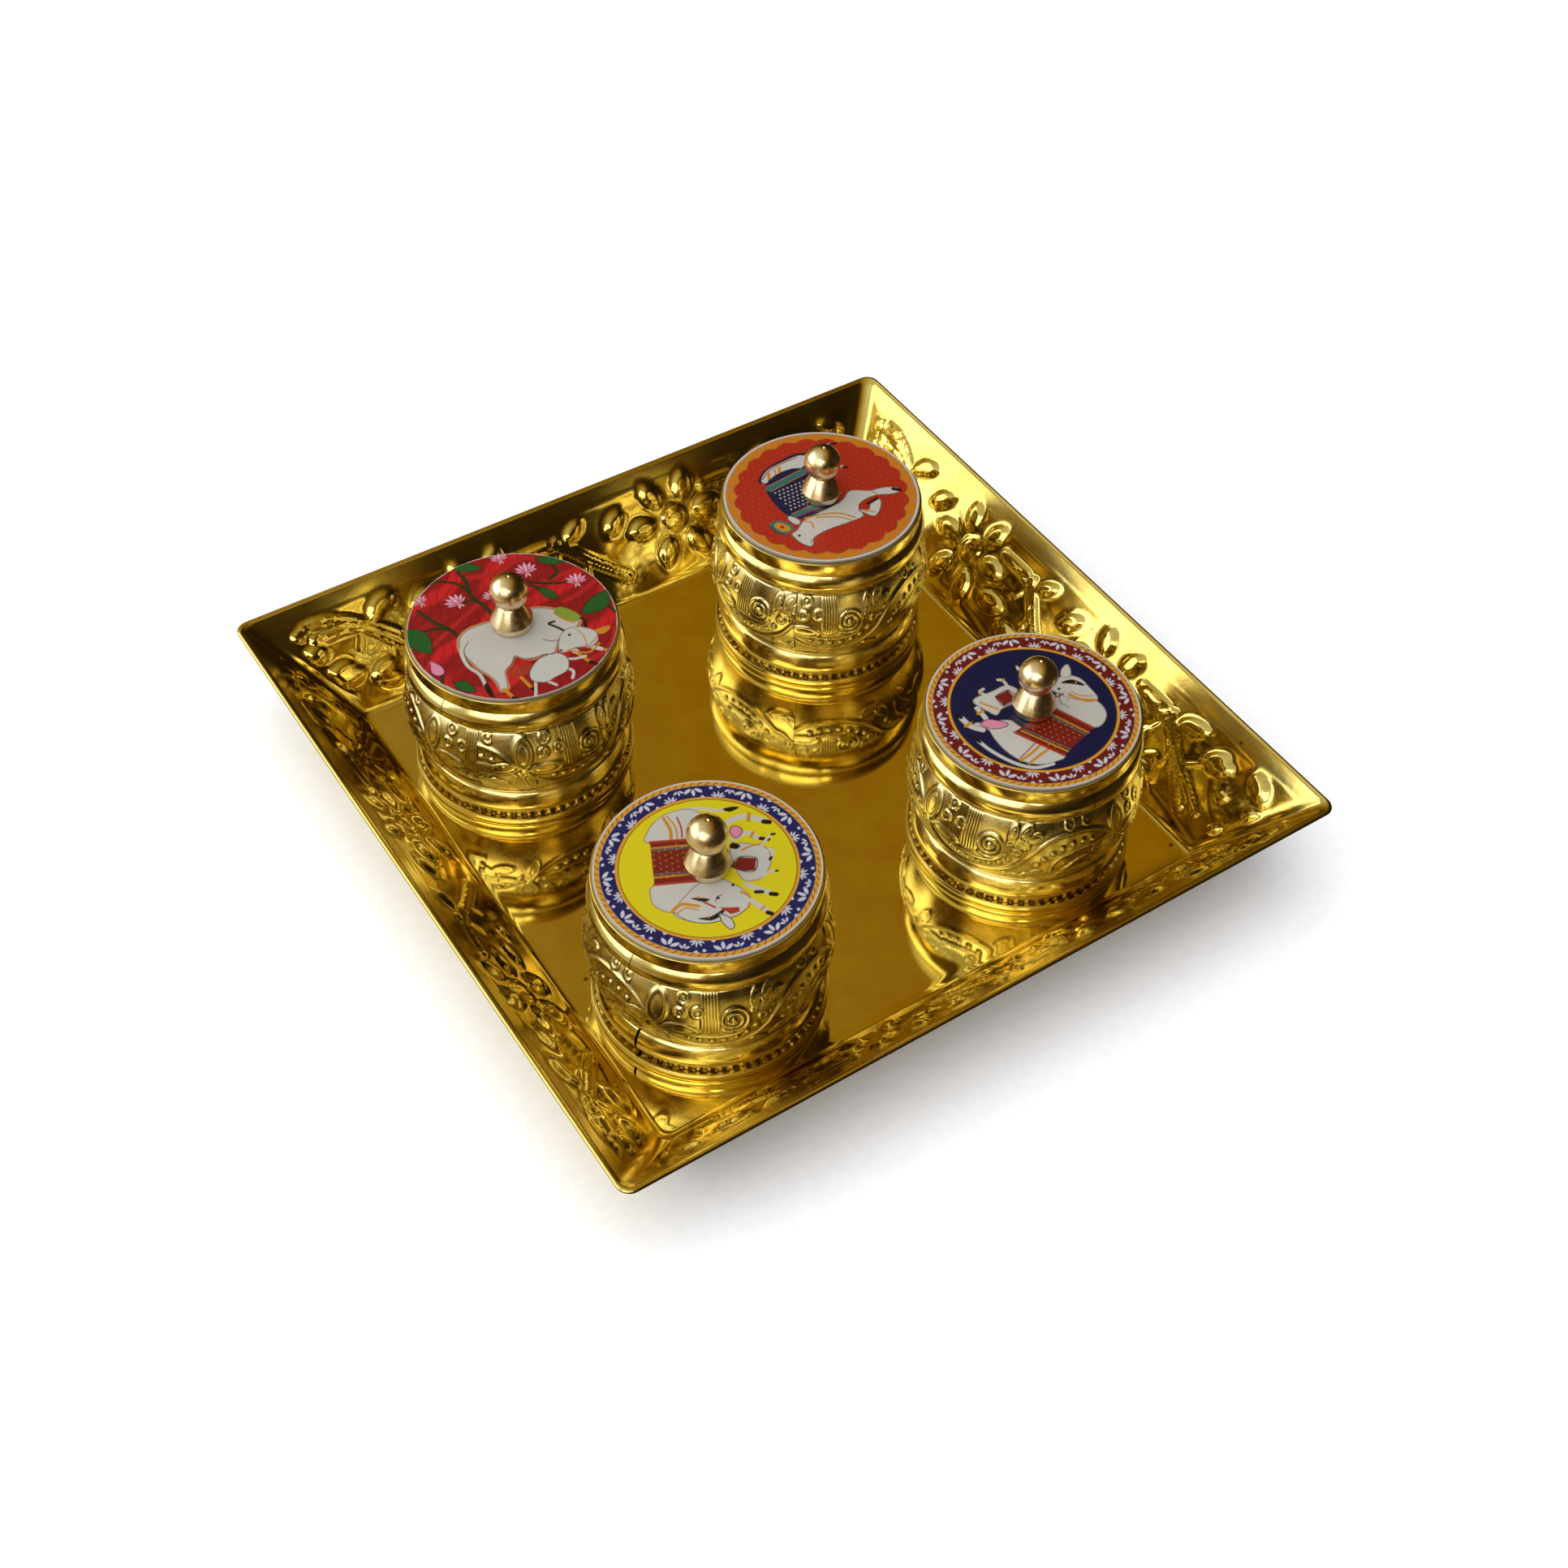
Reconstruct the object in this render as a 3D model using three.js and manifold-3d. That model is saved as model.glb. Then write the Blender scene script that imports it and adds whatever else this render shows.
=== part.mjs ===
// Brass kumkum and spice set: a square pressed tray with four small round lidded boxes.
// Millimetres, +Z up, origin at the middle of the tray's underside.
// X and Y run along the sides of the tray.

import * as THREE from 'three';
import { mergeVertices } from 'three/addons/utils/BufferGeometryUtils.js';
import Module from 'manifold-3d';

const wasm = await Module();
wasm.setup();

// ---------------------------------------------------------------- driving dimensions

const tray = {
  floorMargin: 3.6,     // flat floor outside the base plates
  wallRun: 22.4,        // how far each wall leans out, over the rim
  depth: 26.8,          // floor to rim
  sheet: 1.0,           // thickness of the floor
  wallWide: 1.3,        // sloping wall, measured level
  cornerRadius: 3.5,    // rim corners
};

const box = {
  gap: 35.8,            // between neighbouring base plates
  baseOverhang: 1.0,    // base plate outside the foot band
  baseSheet: 1.1,       // base plate under the ribbed ledge
  baseEdgeHeight: 1.9,  // raised edge, from the underside
  baseEdgeWide: 0.8,
  bandSheet: 0.6,       // every rolled band
  footHeight: 8.4,
  footBulge: 1.8,       // how far the half-round foot stands out from its own edges
  wallHeight: 22.2,
  wallBulge: 3.5,
  linerRadius: 25.2,    // outside of the plain inner cup
  linerSheet: 0.7,
  collarHeight: 4.4,    // inner cup above the wall band, inside the lid
};

const lid = {
  bandHeight: 7.3,
  bandBulge: 2.0,
  plateOverhang: 0.85,  // plate outside the lid band's edge
  plateHeight: 3.8,     // straight rim of the plate
  plateSheet: 0.8,
  pictureMargin: 0.7,   // rim of the plate outside the picture
  pictureThickness: 0.8,
};

const knob = {
  footRadius: 5.0,
  footHeight: 2.2,
  flareRadius: 5.45,
  neckRadius: 2.7,
  neckHeight: 7.2,      // neck above the picture
  ballRadius: 4.85,
  threadSpare: 1.3,     // blind hole beyond the screw's end
};

const screw = {
  radius: 1.2,
  reach: 5.2,           // shank inside the knob
  headRadius: 2.8,
  headHeight: 1.6,
  slotWide: 0.8,
  slotDeep: 0.7,
};

const washer = {
  radius: 4.2,
  thickness: 0.5,
};

const fit = {
  seat: 0.05,           // between faces that rest on each other
  slide: 0.35,          // lid band around the collar
  part: 0.4,            // parting gap between the lid and the wall band
  band: 0.2,            // rolled band around the inner cup
  thread: 0.15,         // round the screw in the knob's blind hole
  washer: 0.4,          // round the screw in its washer
  hole: 0.5,            // round the screw in the plate and the picture
};

const segments = { tray: 4, round: 24, knob: 16, small: 12, arc: 4, corner: 4 };

// ---------------------------------------------------------------- derived levels, from the tray floor up

const level = {};
level.foot = box.baseSheet + fit.seat;
level.wall = level.foot + box.footHeight + fit.seat;
level.wallTop = level.wall + box.wallHeight;
level.collarTop = level.wallTop + box.collarHeight;
level.lid = level.wallTop + fit.part;
level.plate = level.lid + lid.bandHeight + fit.seat;
level.plateTop = level.plate + lid.plateHeight;
level.picture = level.plateTop + fit.seat;
level.knob = level.picture + lid.pictureThickness + fit.seat;
level.plateUnder = level.plateTop - lid.plateSheet;

// ---------------------------------------------------------------- derived radii and sides

const round = {};
round.bandEdge = box.linerRadius + fit.band + box.bandSheet;
round.base = round.bandEdge + box.footBulge + box.baseOverhang;
round.lidEdge = box.linerRadius + fit.slide + box.bandSheet;
round.plate = round.lidEdge + lid.plateOverhang;
round.picture = round.plate - lid.pictureMargin;
round.screwHole = screw.radius + fit.hole;

const square = {};
square.pitch = 2 * round.base + box.gap;
square.floor = square.pitch + 2 * (round.base + tray.floorMargin);
square.rim = square.floor + 2 * tray.wallRun;

// ---------------------------------------------------------------- finishes

const finish = {
  trayBrass: { color: '#a8791c', roughness: 0.2, metalness: 1 },
  bandBrass: { color: '#b58a2e', roughness: 0.3, metalness: 1 },
  linerBrass: { color: '#a5802f', roughness: 0.4, metalness: 1 },
  knobBrass: { color: '#c9a463', roughness: 0.25, metalness: 1 },
  screwSteel: { color: '#9a9a96', roughness: 0.4, metalness: 1 },
};

const pictureColour = { left: '#b01018', back: '#c84a1c', right: '#221a3c', front: '#e6c800' };

function brass(name) {
  return new THREE.MeshStandardMaterial(finish[name]);
}

// ---------------------------------------------------------------- geometry helpers

// Turns a closed or axis-to-axis outline of [radius, height] points round the Z axis.
function turned(outline, count, start = 0) {
  const points = outline.map(([radius, height]) => new THREE.Vector2(radius, height));
  const shape = new THREE.LatheGeometry(points, count, start);
  shape.rotateX(Math.PI / 2);
  return shape;
}

// Points on the arc from one [radius, height] point to another that stands out by bulge.
function bulgedArc(from, to, bulge, steps) {
  const chord = to[1] - from[1];
  return Array.from({ length: steps + 1 }, (unused, step) => {
    const share = step / steps;
    const rise = bulge * (1 - (2 * share - 1) ** 2);
    return [from[0] + (to[0] - from[0]) * share + rise, from[1] + chord * share];
  });
}

// A rolled strip: its outside bulges, and its inside follows at the strip's thickness.
function rolledBand(radius, bottom, height, bulge) {
  const inner = radius - box.bandSheet;
  const outside = bulgedArc([radius, bottom], [radius, bottom + height], bulge, segments.arc);
  const inside = bulgedArc([inner, bottom + height], [inner, bottom], bulge, segments.arc);
  return turned([...outside, ...inside, outside[0]], segments.round);
}

function toSolid(geometry) {
  const bare = geometry.clone();
  bare.deleteAttribute('normal');
  bare.deleteAttribute('uv');
  const merged = mergeVertices(bare, 1e-4);
  return new wasm.Manifold(new wasm.Mesh({
    numProp: 3,
    vertProperties: new Float32Array(merged.attributes.position.array),
    triVerts: new Uint32Array(merged.index.array),
  }));
}

function toGeometry(solid) {
  const mesh = solid.getMesh();
  const geometry = new THREE.BufferGeometry();
  geometry.setAttribute('position', new THREE.BufferAttribute(mesh.vertProperties, 3));
  geometry.setIndex(new THREE.BufferAttribute(mesh.triVerts, 1));
  geometry.computeVertexNormals();
  return geometry;
}

function named(name, geometry, material) {
  const mesh = new THREE.Mesh(geometry, material);
  mesh.name = name;
  return mesh;
}

// ---------------------------------------------------------------- the tray

// A square with rounded corners, as the outline of a column.
function roundedSquare(side, radius) {
  const half = side / 2;
  const shape = new THREE.Shape();
  shape.moveTo(half - radius, -half);
  shape.absarc(half - radius, -half + radius, radius, -Math.PI / 2, 0);
  shape.absarc(half - radius, half - radius, radius, 0, Math.PI / 2);
  shape.absarc(-half + radius, half - radius, radius, Math.PI / 2, Math.PI);
  shape.absarc(-half + radius, -half + radius, radius, Math.PI, 1.5 * Math.PI);
  return shape;
}

// The pressed dish: four sloping walls round a flat floor, with its rim corners rounded off.
function trayDish() {
  const height = tray.sheet + tray.depth;
  const run = tray.wallRun - tray.wallWide;
  const lean = run / tray.depth;
  const underHalf = square.floor / 2 - tray.sheet * lean + tray.wallWide;
  const outline = [
    [0, 0],
    [underHalf, 0],
    [square.rim / 2, height],
    [square.rim / 2 - tray.wallWide, height],
    [square.floor / 2, tray.sheet],
    [0, tray.sheet],
  ].map(([half, z]) => [half * Math.SQRT2, z]);
  const dish = toSolid(turned(outline, segments.tray, Math.PI / 4));
  const margin = 1;
  const column = new THREE.ExtrudeGeometry(roundedSquare(square.rim, tray.cornerRadius), {
    depth: height + 2 * margin,
    bevelEnabled: false,
    curveSegments: segments.corner,
  });
  column.translate(0, 0, -margin);
  return toGeometry(dish.intersect(toSolid(column)));
}

// ---------------------------------------------------------------- one box

// Base plate: a disc with a ledge round it and a raised outer edge.
function basePlate() {
  const ledge = round.base - box.baseEdgeWide;
  return turned([
    [0, 0],
    [round.base, 0],
    [round.base, box.baseEdgeHeight],
    [ledge, box.baseEdgeHeight],
    [ledge, box.baseSheet],
    [0, box.baseSheet],
  ], segments.round);
}

function footBand() {
  return rolledBand(round.bandEdge, level.foot, box.footHeight, box.footBulge);
}

function wallBand() {
  return rolledBand(round.bandEdge, level.wall, box.wallHeight, box.wallBulge);
}

// Inner cup: a plain tube with a bottom, standing above the wall band as the lid's collar.
function liner() {
  const inner = box.linerRadius - box.linerSheet;
  return turned([
    [0, level.foot],
    [box.linerRadius, level.foot],
    [box.linerRadius, level.collarTop],
    [inner, level.collarTop],
    [inner, level.foot + box.linerSheet],
    [0, level.foot + box.linerSheet],
  ], segments.round);
}

// ---------------------------------------------------------------- one lid

function lidBand() {
  return rolledBand(round.lidEdge, level.lid, lid.bandHeight, lid.bandBulge);
}

// Lid plate: a shallow pressed cap with a straight rim and a hole for the knob's screw.
function lidPlate() {
  const inner = round.plate - lid.plateSheet;
  const outline = [
    [round.screwHole, level.plateUnder],
    [inner, level.plateUnder],
    [inner, level.plate],
    [round.plate, level.plate],
    [round.plate, level.plateTop],
    [round.screwHole, level.plateTop],
  ];
  return turned([...outline, outline[0]], segments.round);
}

function pictureDisc() {
  const top = level.picture + lid.pictureThickness;
  const outline = [
    [round.screwHole, level.picture],
    [round.picture, level.picture],
    [round.picture, top],
    [round.screwHole, top],
  ];
  return turned([...outline, outline[0]], segments.round);
}

// Knob: short foot, cone drawn in to a neck, and a ball; a blind threaded hole from below.
function lidKnob() {
  const bottom = level.knob;
  const threadRadius = screw.radius + fit.thread;
  const threadTop = bottom + screw.reach + knob.threadSpare;
  const neck = bottom + knob.neckHeight;
  const cut = Math.asin(knob.neckRadius / knob.ballRadius);
  const ballCentre = neck + knob.ballRadius * Math.cos(cut);
  const steps = 5;
  const ball = Array.from({ length: steps + 1 }, (unused, step) => {
    const angle = cut + (Math.PI - cut) * (step / steps);
    const radius = step === steps ? 0 : knob.ballRadius * Math.sin(angle);
    return [radius, ballCentre - knob.ballRadius * Math.cos(angle)];
  });
  return turned([
    [0, threadTop],
    [threadRadius, threadTop],
    [threadRadius, bottom],
    [knob.footRadius, bottom],
    [knob.footRadius, bottom + knob.footHeight],
    [knob.flareRadius, bottom + knob.footHeight + fit.seat],
    ...ball,
  ], segments.knob);
}

// Screw from inside the lid: slotted head below the washer, shank up into the knob.
function lidScrew() {
  const headTop = level.plateUnder - fit.seat - washer.thickness - fit.seat;
  const headBottom = headTop - screw.headHeight;
  const body = toSolid(turned([
    [0, headBottom],
    [screw.headRadius, headBottom],
    [screw.headRadius, headTop],
    [screw.radius, headTop],
    [screw.radius, level.knob + screw.reach],
    [0, level.knob + screw.reach],
  ], segments.small));
  const slot = new THREE.BoxGeometry(3 * screw.headRadius, screw.slotWide, 2 * screw.slotDeep);
  slot.translate(0, 0, headBottom);
  return toGeometry(body.subtract(toSolid(slot)));
}

function lidWasher() {
  const top = level.plateUnder - fit.seat;
  const hole = screw.radius + fit.washer;
  const outline = [
    [hole, top - washer.thickness],
    [washer.radius, top - washer.thickness],
    [washer.radius, top],
    [hole, top],
  ];
  return turned([...outline, outline[0]], segments.small);
}

// ---------------------------------------------------------------- assembly

function lidPicture(place) {
  return new THREE.MeshStandardMaterial({ color: pictureColour[place], roughness: 0.25, metalness: 0 });
}

function lidGroup(place) {
  const group = new THREE.Group();
  group.add(named(`${place}_lid_band`, lidBand(), brass('bandBrass')));
  group.add(named(`${place}_lid_plate`, lidPlate(), brass('bandBrass')));
  group.add(named(`${place}_lid_picture`, pictureDisc(), lidPicture(place)));
  group.add(named(`${place}_lid_knob`, lidKnob(), brass('knobBrass')));
  group.add(named(`${place}_lid_screw`, lidScrew(), brass('screwSteel')));
  group.add(named(`${place}_lid_washer`, lidWasher(), brass('linerBrass')));
  return group;
}

function boxGroup(place) {
  const group = new THREE.Group();
  group.add(named(`${place}_box_base_plate`, basePlate(), brass('bandBrass')));
  group.add(named(`${place}_box_foot_band`, footBand(), brass('bandBrass')));
  group.add(named(`${place}_box_wall_band`, wallBand(), brass('bandBrass')));
  group.add(named(`${place}_box_liner`, liner(), brass('linerBrass')));
  group.add(lidGroup(place));
  return group;
}

// Which way each box stands from the middle of the tray.
const places = { left: [-1, 1], back: [1, 1], right: [1, -1], front: [-1, -1] };

const set = new THREE.Group();
set.add(named('tray', trayDish(), brass('trayBrass')));
for (const [place, [across, along]] of Object.entries(places)) {
  const group = boxGroup(place);
  group.position.set(across * square.pitch / 2, along * square.pitch / 2, tray.sheet + fit.seat);
  set.add(group);
}

export default set;
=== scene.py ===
"""Looks of a brass kumkum and spice box set: a pressed square tray with four small lidded boxes.

Sizes are in millimetres inside the classes, and a mesh is turned to metres when it is finished.
"""

import logging
import math
from collections.abc import Callable, Sequence
from dataclasses import dataclass, field
from enum import Enum
from typing import Any, ClassVar

import bmesh
import bpy
import numpy as np
from mathutils import Matrix, Vector


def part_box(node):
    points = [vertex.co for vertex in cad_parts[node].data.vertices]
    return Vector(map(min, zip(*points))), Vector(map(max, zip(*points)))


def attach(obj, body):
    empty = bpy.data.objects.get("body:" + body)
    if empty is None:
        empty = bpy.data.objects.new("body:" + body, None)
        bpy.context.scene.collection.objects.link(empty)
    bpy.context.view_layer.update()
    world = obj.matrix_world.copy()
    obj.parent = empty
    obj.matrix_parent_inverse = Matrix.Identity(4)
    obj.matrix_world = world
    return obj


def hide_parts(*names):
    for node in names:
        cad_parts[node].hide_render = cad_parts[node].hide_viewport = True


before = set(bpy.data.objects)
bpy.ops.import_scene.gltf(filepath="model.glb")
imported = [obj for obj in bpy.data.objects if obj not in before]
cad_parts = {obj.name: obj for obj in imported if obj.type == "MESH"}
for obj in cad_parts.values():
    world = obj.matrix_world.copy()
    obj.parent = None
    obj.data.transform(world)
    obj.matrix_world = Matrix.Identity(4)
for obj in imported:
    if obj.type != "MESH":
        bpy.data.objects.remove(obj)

MM = 0.001
LOG = logging.getLogger("box_set")

Point = tuple[float, float]
Grid = tuple[np.ndarray, np.ndarray, np.ndarray, np.ndarray | float]


class Place(Enum):
    """Where a box stands on the tray, as the prefix of its nodes."""

    LEFT = "left"
    BACK = "back"
    RIGHT = "right"
    FRONT = "front"


# ---------------------------------------------------------------- colours and nodes


def linear(colour: str) -> tuple[float, float, float, float]:
    """Turn an sRGB hex colour to linear.

    Args:
        colour: Six hex digits after a hash.

    Returns:
        Linear red, green, blue and an alpha of 1.
    """
    parts = [int(colour[i : i + 2], 16) / 255 for i in (1, 3, 5)]
    red, green, blue = (p / 12.92 if p <= 0.04045 else ((p + 0.055) / 1.055) ** 2.4 for p in parts)
    return red, green, blue, 1.0


def add_node(
    tree: bpy.types.NodeTree,
    kind: str,
    settings: dict[str, Any] | None = None,
    links: dict[str | int, bpy.types.NodeSocket] | None = None,
    **values: Any,
) -> bpy.types.Node:
    """Add a node with its settings, input values and links.

    Args:
        tree: The node tree to add to.
        kind: The node's type without its ShaderNode prefix.
        settings: Properties of the node itself.
        links: Output sockets by the name or number of the input they feed.
        values: Input values by name, with an underscore for a space.

    Returns:
        The new node.
    """
    node = tree.nodes.new("ShaderNode" + kind)
    for name, value in (settings or {}).items():
        setattr(node, name, value)
    for name, value in values.items():
        node.inputs[name.replace("_", " ")].default_value = value
    for name, source in (links or {}).items():
        tree.links.new(source, node.inputs[name])
    return node


def ramp(
    tree: bpy.types.NodeTree, source: bpy.types.NodeSocket, stops: Sequence[tuple[float, Any]]
) -> bpy.types.Node:
    """Map a value through colour stops.

    Args:
        tree: The node tree.
        source: The value from 0 to 1.
        stops: Positions with an sRGB hex colour or a grey value.

    Returns:
        The ramp node.
    """
    node = add_node(tree, "ValToRGB", links={"Fac": source})
    elements = node.color_ramp.elements
    while len(elements) < len(stops):
        elements.new(0.5)
    for element, (position, colour) in zip(elements, stops):
        element.position = position
        element.color = linear(colour) if isinstance(colour, str) else (colour, colour, colour, 1)
    return node


def empty_material(name: str) -> tuple[bpy.types.Material, bpy.types.NodeTree]:
    """Start a material with a cleared node tree."""
    material = bpy.data.materials.new(name)
    material.use_nodes = True
    material.node_tree.nodes.clear()
    return material, material.node_tree


# ---------------------------------------------------------------- finishes


@dataclass(frozen=True)
class BrassFinish:
    """Yellow brass, C260 or C360, as rolled, pressed or turned, with the wear of handling."""

    name: str
    bright: str = "#f2cf6b"  # clean metal
    dull: str = "#c99a3a"  # thin tarnish film in cloudy patches
    patina_and_shade: str = "#5a3d10"  # oxide and polish left in the grooves, darkened further there as painted shade; also the colour of tarnish specks
    cloud: float = 14.0  # size of a tarnish cloud
    gloss: float = 0.12  # roughness where polished
    haze: float = 0.26  # roughness where handled
    grain: tuple[float, float, float] = (0.5, 0.5, 0.5)  # size of a polishing scratch along each axis
    grain_depth: float = 0.02
    wave: float = 0.0  # unevenness of the sheet, height over its wave length
    wave_length: float = 22.0
    speck: float = 0.0  # share of tarnish specks
    walls: tuple[Point, ...] = ()  # roughness from floor to rim, as heights and values

    def material(self) -> bpy.types.Material:
        """Build the finish as a material."""
        material, tree = empty_material(self.name)
        place = add_node(tree, "TexCoord").outputs["Object"]
        cloud = add_node(
            tree, "TexNoise", links={"Vector": place}, Scale=1 / (self.cloud * MM), Detail=5.0, Roughness=0.62
        )
        colour = ramp(tree, cloud.outputs["Fac"], [(0.36, self.bright), (0.68, self.dull)]).outputs["Color"]
        # Painted shade and patina: the stored share darkens the grooves towards the dark groove colour.
        wear_and_shade = add_node(tree, "Attribute", {"attribute_name": "patina_and_shade"}).outputs["Fac"]
        colour = self.blend(tree, wear_and_shade, colour, linear(self.patina_and_shade))
        if self.speck:
            colour = self.speckled(tree, place, colour)
        stretched = add_node(
            tree, "Mapping", links={"Vector": place}, Scale=tuple(1 / (size * MM) for size in self.grain)
        )
        grain = add_node(
            tree, "TexNoise", links={"Vector": stretched.outputs[0]}, Scale=1.0, Detail=3.0, Roughness=0.7
        )
        smear = add_node(tree, "TexNoise", links={"Vector": place}, Scale=1 / (0.6 * self.cloud * MM), Detail=4.0)
        bump = add_node(
            tree, "Bump", links={"Height": grain.outputs["Fac"]}, Strength=0.5, Distance=self.grain_depth * MM
        ).outputs[0]
        if self.walls:
            roughness, bump = self.brushed(tree, place, smear, bump)
        else:
            parts = {0: grain.outputs["Fac"], 1: smear.outputs["Fac"]}
            mixed = add_node(tree, "Math", {"operation": "MULTIPLY"}, parts)
            limits = {"From_Min": 0.16, "From_Max": 0.36, "To_Min": self.gloss, "To_Max": self.haze}
            rough = add_node(tree, "MapRange", links={"Value": mixed.outputs[0]}, **limits)
            roughness = rough.outputs["Result"]
        if self.wave:
            swell = add_node(tree, "TexNoise", links={"Vector": place}, Scale=1 / (self.wave_length * MM), Detail=1.0)
            bump = add_node(
                tree,
                "Bump",
                links={"Height": swell.outputs["Fac"], "Normal": bump},
                Strength=1.0,
                Distance=self.wave * self.wave_length * MM,
            ).outputs[0]
        shader = add_node(
            tree,
            "BsdfPrincipled",
            links={"Base Color": colour, "Roughness": roughness, "Normal": bump},
            Metallic=1.0,
        )
        add_node(tree, "OutputMaterial", links={"Surface": shader.outputs[0]})
        return material

    def brushed(
        self,
        tree: bpy.types.NodeTree,
        place: bpy.types.NodeSocket,
        smear: bpy.types.Node,
        bump: bpy.types.NodeSocket,
    ) -> tuple[bpy.types.NodeSocket, bpy.types.NodeSocket]:
        """Leave the floor a mirror and the rim's margin brushed, with faint dents of the press between them.

        Args:
            tree: The material's nodes.
            place: Places on the piece.
            smear: Cloudy patches of handling.
            bump: Surface normal so far.

        Returns:
            The new roughness and surface normal.
        """
        top = self.walls[-1][0]
        height = add_node(tree, "SeparateXYZ", links={"Vector": place}).outputs["Z"]
        share = add_node(tree, "MapRange", links={"Value": height}, From_Max=top * MM)
        level = ramp(tree, share.outputs["Result"], [(z / top, value) for z, value in self.walls])
        rough = add_node(
            tree, "Math", {"operation": "MULTIPLY_ADD"}, {0: level.outputs["Color"], 1: smear.outputs["Fac"]}
        )
        tree.links.new(level.outputs["Color"], rough.inputs[2])
        for size, depth in ((7.0, 0.07), (0.5, 0.004)):
            noise = add_node(tree, "TexNoise", links={"Vector": place}, Scale=1 / (size * MM), Detail=3.0)
            bump = add_node(
                tree,
                "Bump",
                links={"Strength": share.outputs["Result"], "Height": noise.outputs["Fac"], "Normal": bump},
                Distance=depth * MM,
            ).outputs[0]
        return rough.outputs[0], bump

    @staticmethod
    def blend(
        tree: bpy.types.NodeTree, share: bpy.types.NodeSocket, low: bpy.types.NodeSocket, high: tuple[float, ...]
    ) -> bpy.types.NodeSocket:
        """Mix a fixed colour over a linked one by a share."""
        mix = add_node(tree, "Mix", {"data_type": "RGBA"})
        tree.links.new(share, mix.inputs[0])
        tree.links.new(low, mix.inputs[6])
        mix.inputs[7].default_value = high
        return mix.outputs[2]

    def speckled(
        self, tree: bpy.types.NodeTree, place: bpy.types.NodeSocket, colour: bpy.types.NodeSocket
    ) -> bpy.types.NodeSocket:
        """Scatter small dark tarnish specks, about a millimetre wide and centimetres apart."""
        apart = 16.0
        cells = add_node(tree, "TexVoronoi", links={"Vector": place}, Scale=1 / (apart * MM))
        spot = ramp(tree, cells.outputs["Distance"], [(0.024, self.speck), (0.05, 0.0)])
        return self.blend(tree, spot.outputs["Color"], colour, linear(self.patina_and_shade))


@dataclass(frozen=True)
class PrintFinish:
    """Offset print on paper-faced board under a clear gloss varnish."""

    name: str
    gloss: float = 0.3

    def material(self) -> bpy.types.Material:
        """Build the printed face, whose inks are stored on the disc's own vertices."""
        material, tree = empty_material(self.name)
        ink = add_node(tree, "Attribute", {"attribute_name": "ink"}).outputs["Color"]
        place = add_node(tree, "TexCoord").outputs["Object"]
        tooth = add_node(tree, "TexNoise", links={"Vector": place}, Scale=1 / (0.35 * MM), Detail=2.0)
        bump = add_node(tree, "Bump", links={"Height": tooth.outputs["Fac"]}, Strength=0.25, Distance=0.01 * MM)
        shader = add_node(
            tree,
            "BsdfPrincipled",
            links={"Base Color": ink, "Normal": bump.outputs[0]},
            Roughness=self.gloss,
            Specular_IOR_Level=0.3,
            Coat_Weight=0.2,
            Coat_Roughness=0.12,
        )
        add_node(tree, "OutputMaterial", links={"Surface": shader.outputs[0]})
        return material


@dataclass(frozen=True)
class SteelFinish:
    """Zinc-plated steel of a small machine screw, bluish grey with a fine crystalline haze."""

    name: str = "zinc_plated_steel"

    def material(self) -> bpy.types.Material:
        """Build the finish as a material."""
        material, tree = empty_material(self.name)
        place = add_node(tree, "TexCoord").outputs["Object"]
        haze = add_node(tree, "TexNoise", links={"Vector": place}, Scale=1 / (0.8 * MM), Detail=4.0)
        colour = ramp(tree, haze.outputs["Fac"], [(0.3, "#c3c6c8"), (0.7, "#8f9496")])
        rough = add_node(tree, "MapRange", links={"Value": haze.outputs["Fac"]}, To_Min=0.28, To_Max=0.5)
        shader = add_node(
            tree,
            "BsdfPrincipled",
            links={"Base Color": colour.outputs["Color"], "Roughness": rough.outputs["Result"]},
            Metallic=1.0,
        )
        add_node(tree, "OutputMaterial", links={"Surface": shader.outputs[0]})
        return material


class Finishes:
    """Every finish of the set, each made once."""

    def __init__(self) -> None:
        """Make the materials."""
        # The darkest colour of each brass finish stands for patina in its grooves together with painted shade there;
        # on the tray it also colours the tarnish specks.
        self.tray = BrassFinish(
            "pressed_sheet_brass",
            bright="#eedb80",
            dull="#e2c664",
            patina_and_shade="#4a3308",
            walls=((0.9, 0.012), (2.5, 0.05), (17.0, 0.055), (23.0, 0.09), (26.8, 0.14)),
            grain=(1.2, 0.12, 1.2),
            grain_depth=0.0025,
            wave=0.0012,
            speck=0.8,
        ).material()
        self.embossed = BrassFinish(
            "embossed_rolled_brass",
            bright="#f2e6b0",
            dull="#dcc981",
            patina_and_shade="#241a08",
            cloud=7,
            gloss=0.16,
            haze=0.3,
            grain=(1.6, 1.6, 0.12),
            grain_depth=0.02,
        ).material()
        self.band = BrassFinish(
            "rolled_strip_brass",
            bright="#f2e29c",
            dull="#dcc574",
            cloud=9,
            gloss=0.12,
            haze=0.24,
            grain=(2.2, 2.2, 0.12),
            grain_depth=0.012,
            wave=0.004,
            wave_length=9,
        ).material()
        self.liner = BrassFinish(
            "drawn_cup_brass", bright="#e3c06a", dull="#b98f3f", cloud=8, gloss=0.24, haze=0.4, grain=(1.5, 1.5, 0.1)
        ).material()
        self.knob = BrassFinish(
            "turned_brass",
            bright="#fcedcb",
            dull="#ead0a0",
            patina_and_shade="#6a4a24",
            cloud=5,
            gloss=0.2,
            haze=0.34,
            grain=(3.0, 3.0, 0.14),
            grain_depth=0.008,
        ).material()
        self.steel = SteelFinish().material()
        self.prints = {place: PrintFinish(f"{place.value}_varnished_print").material() for place in Place}


# ---------------------------------------------------------------- meshes


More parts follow.
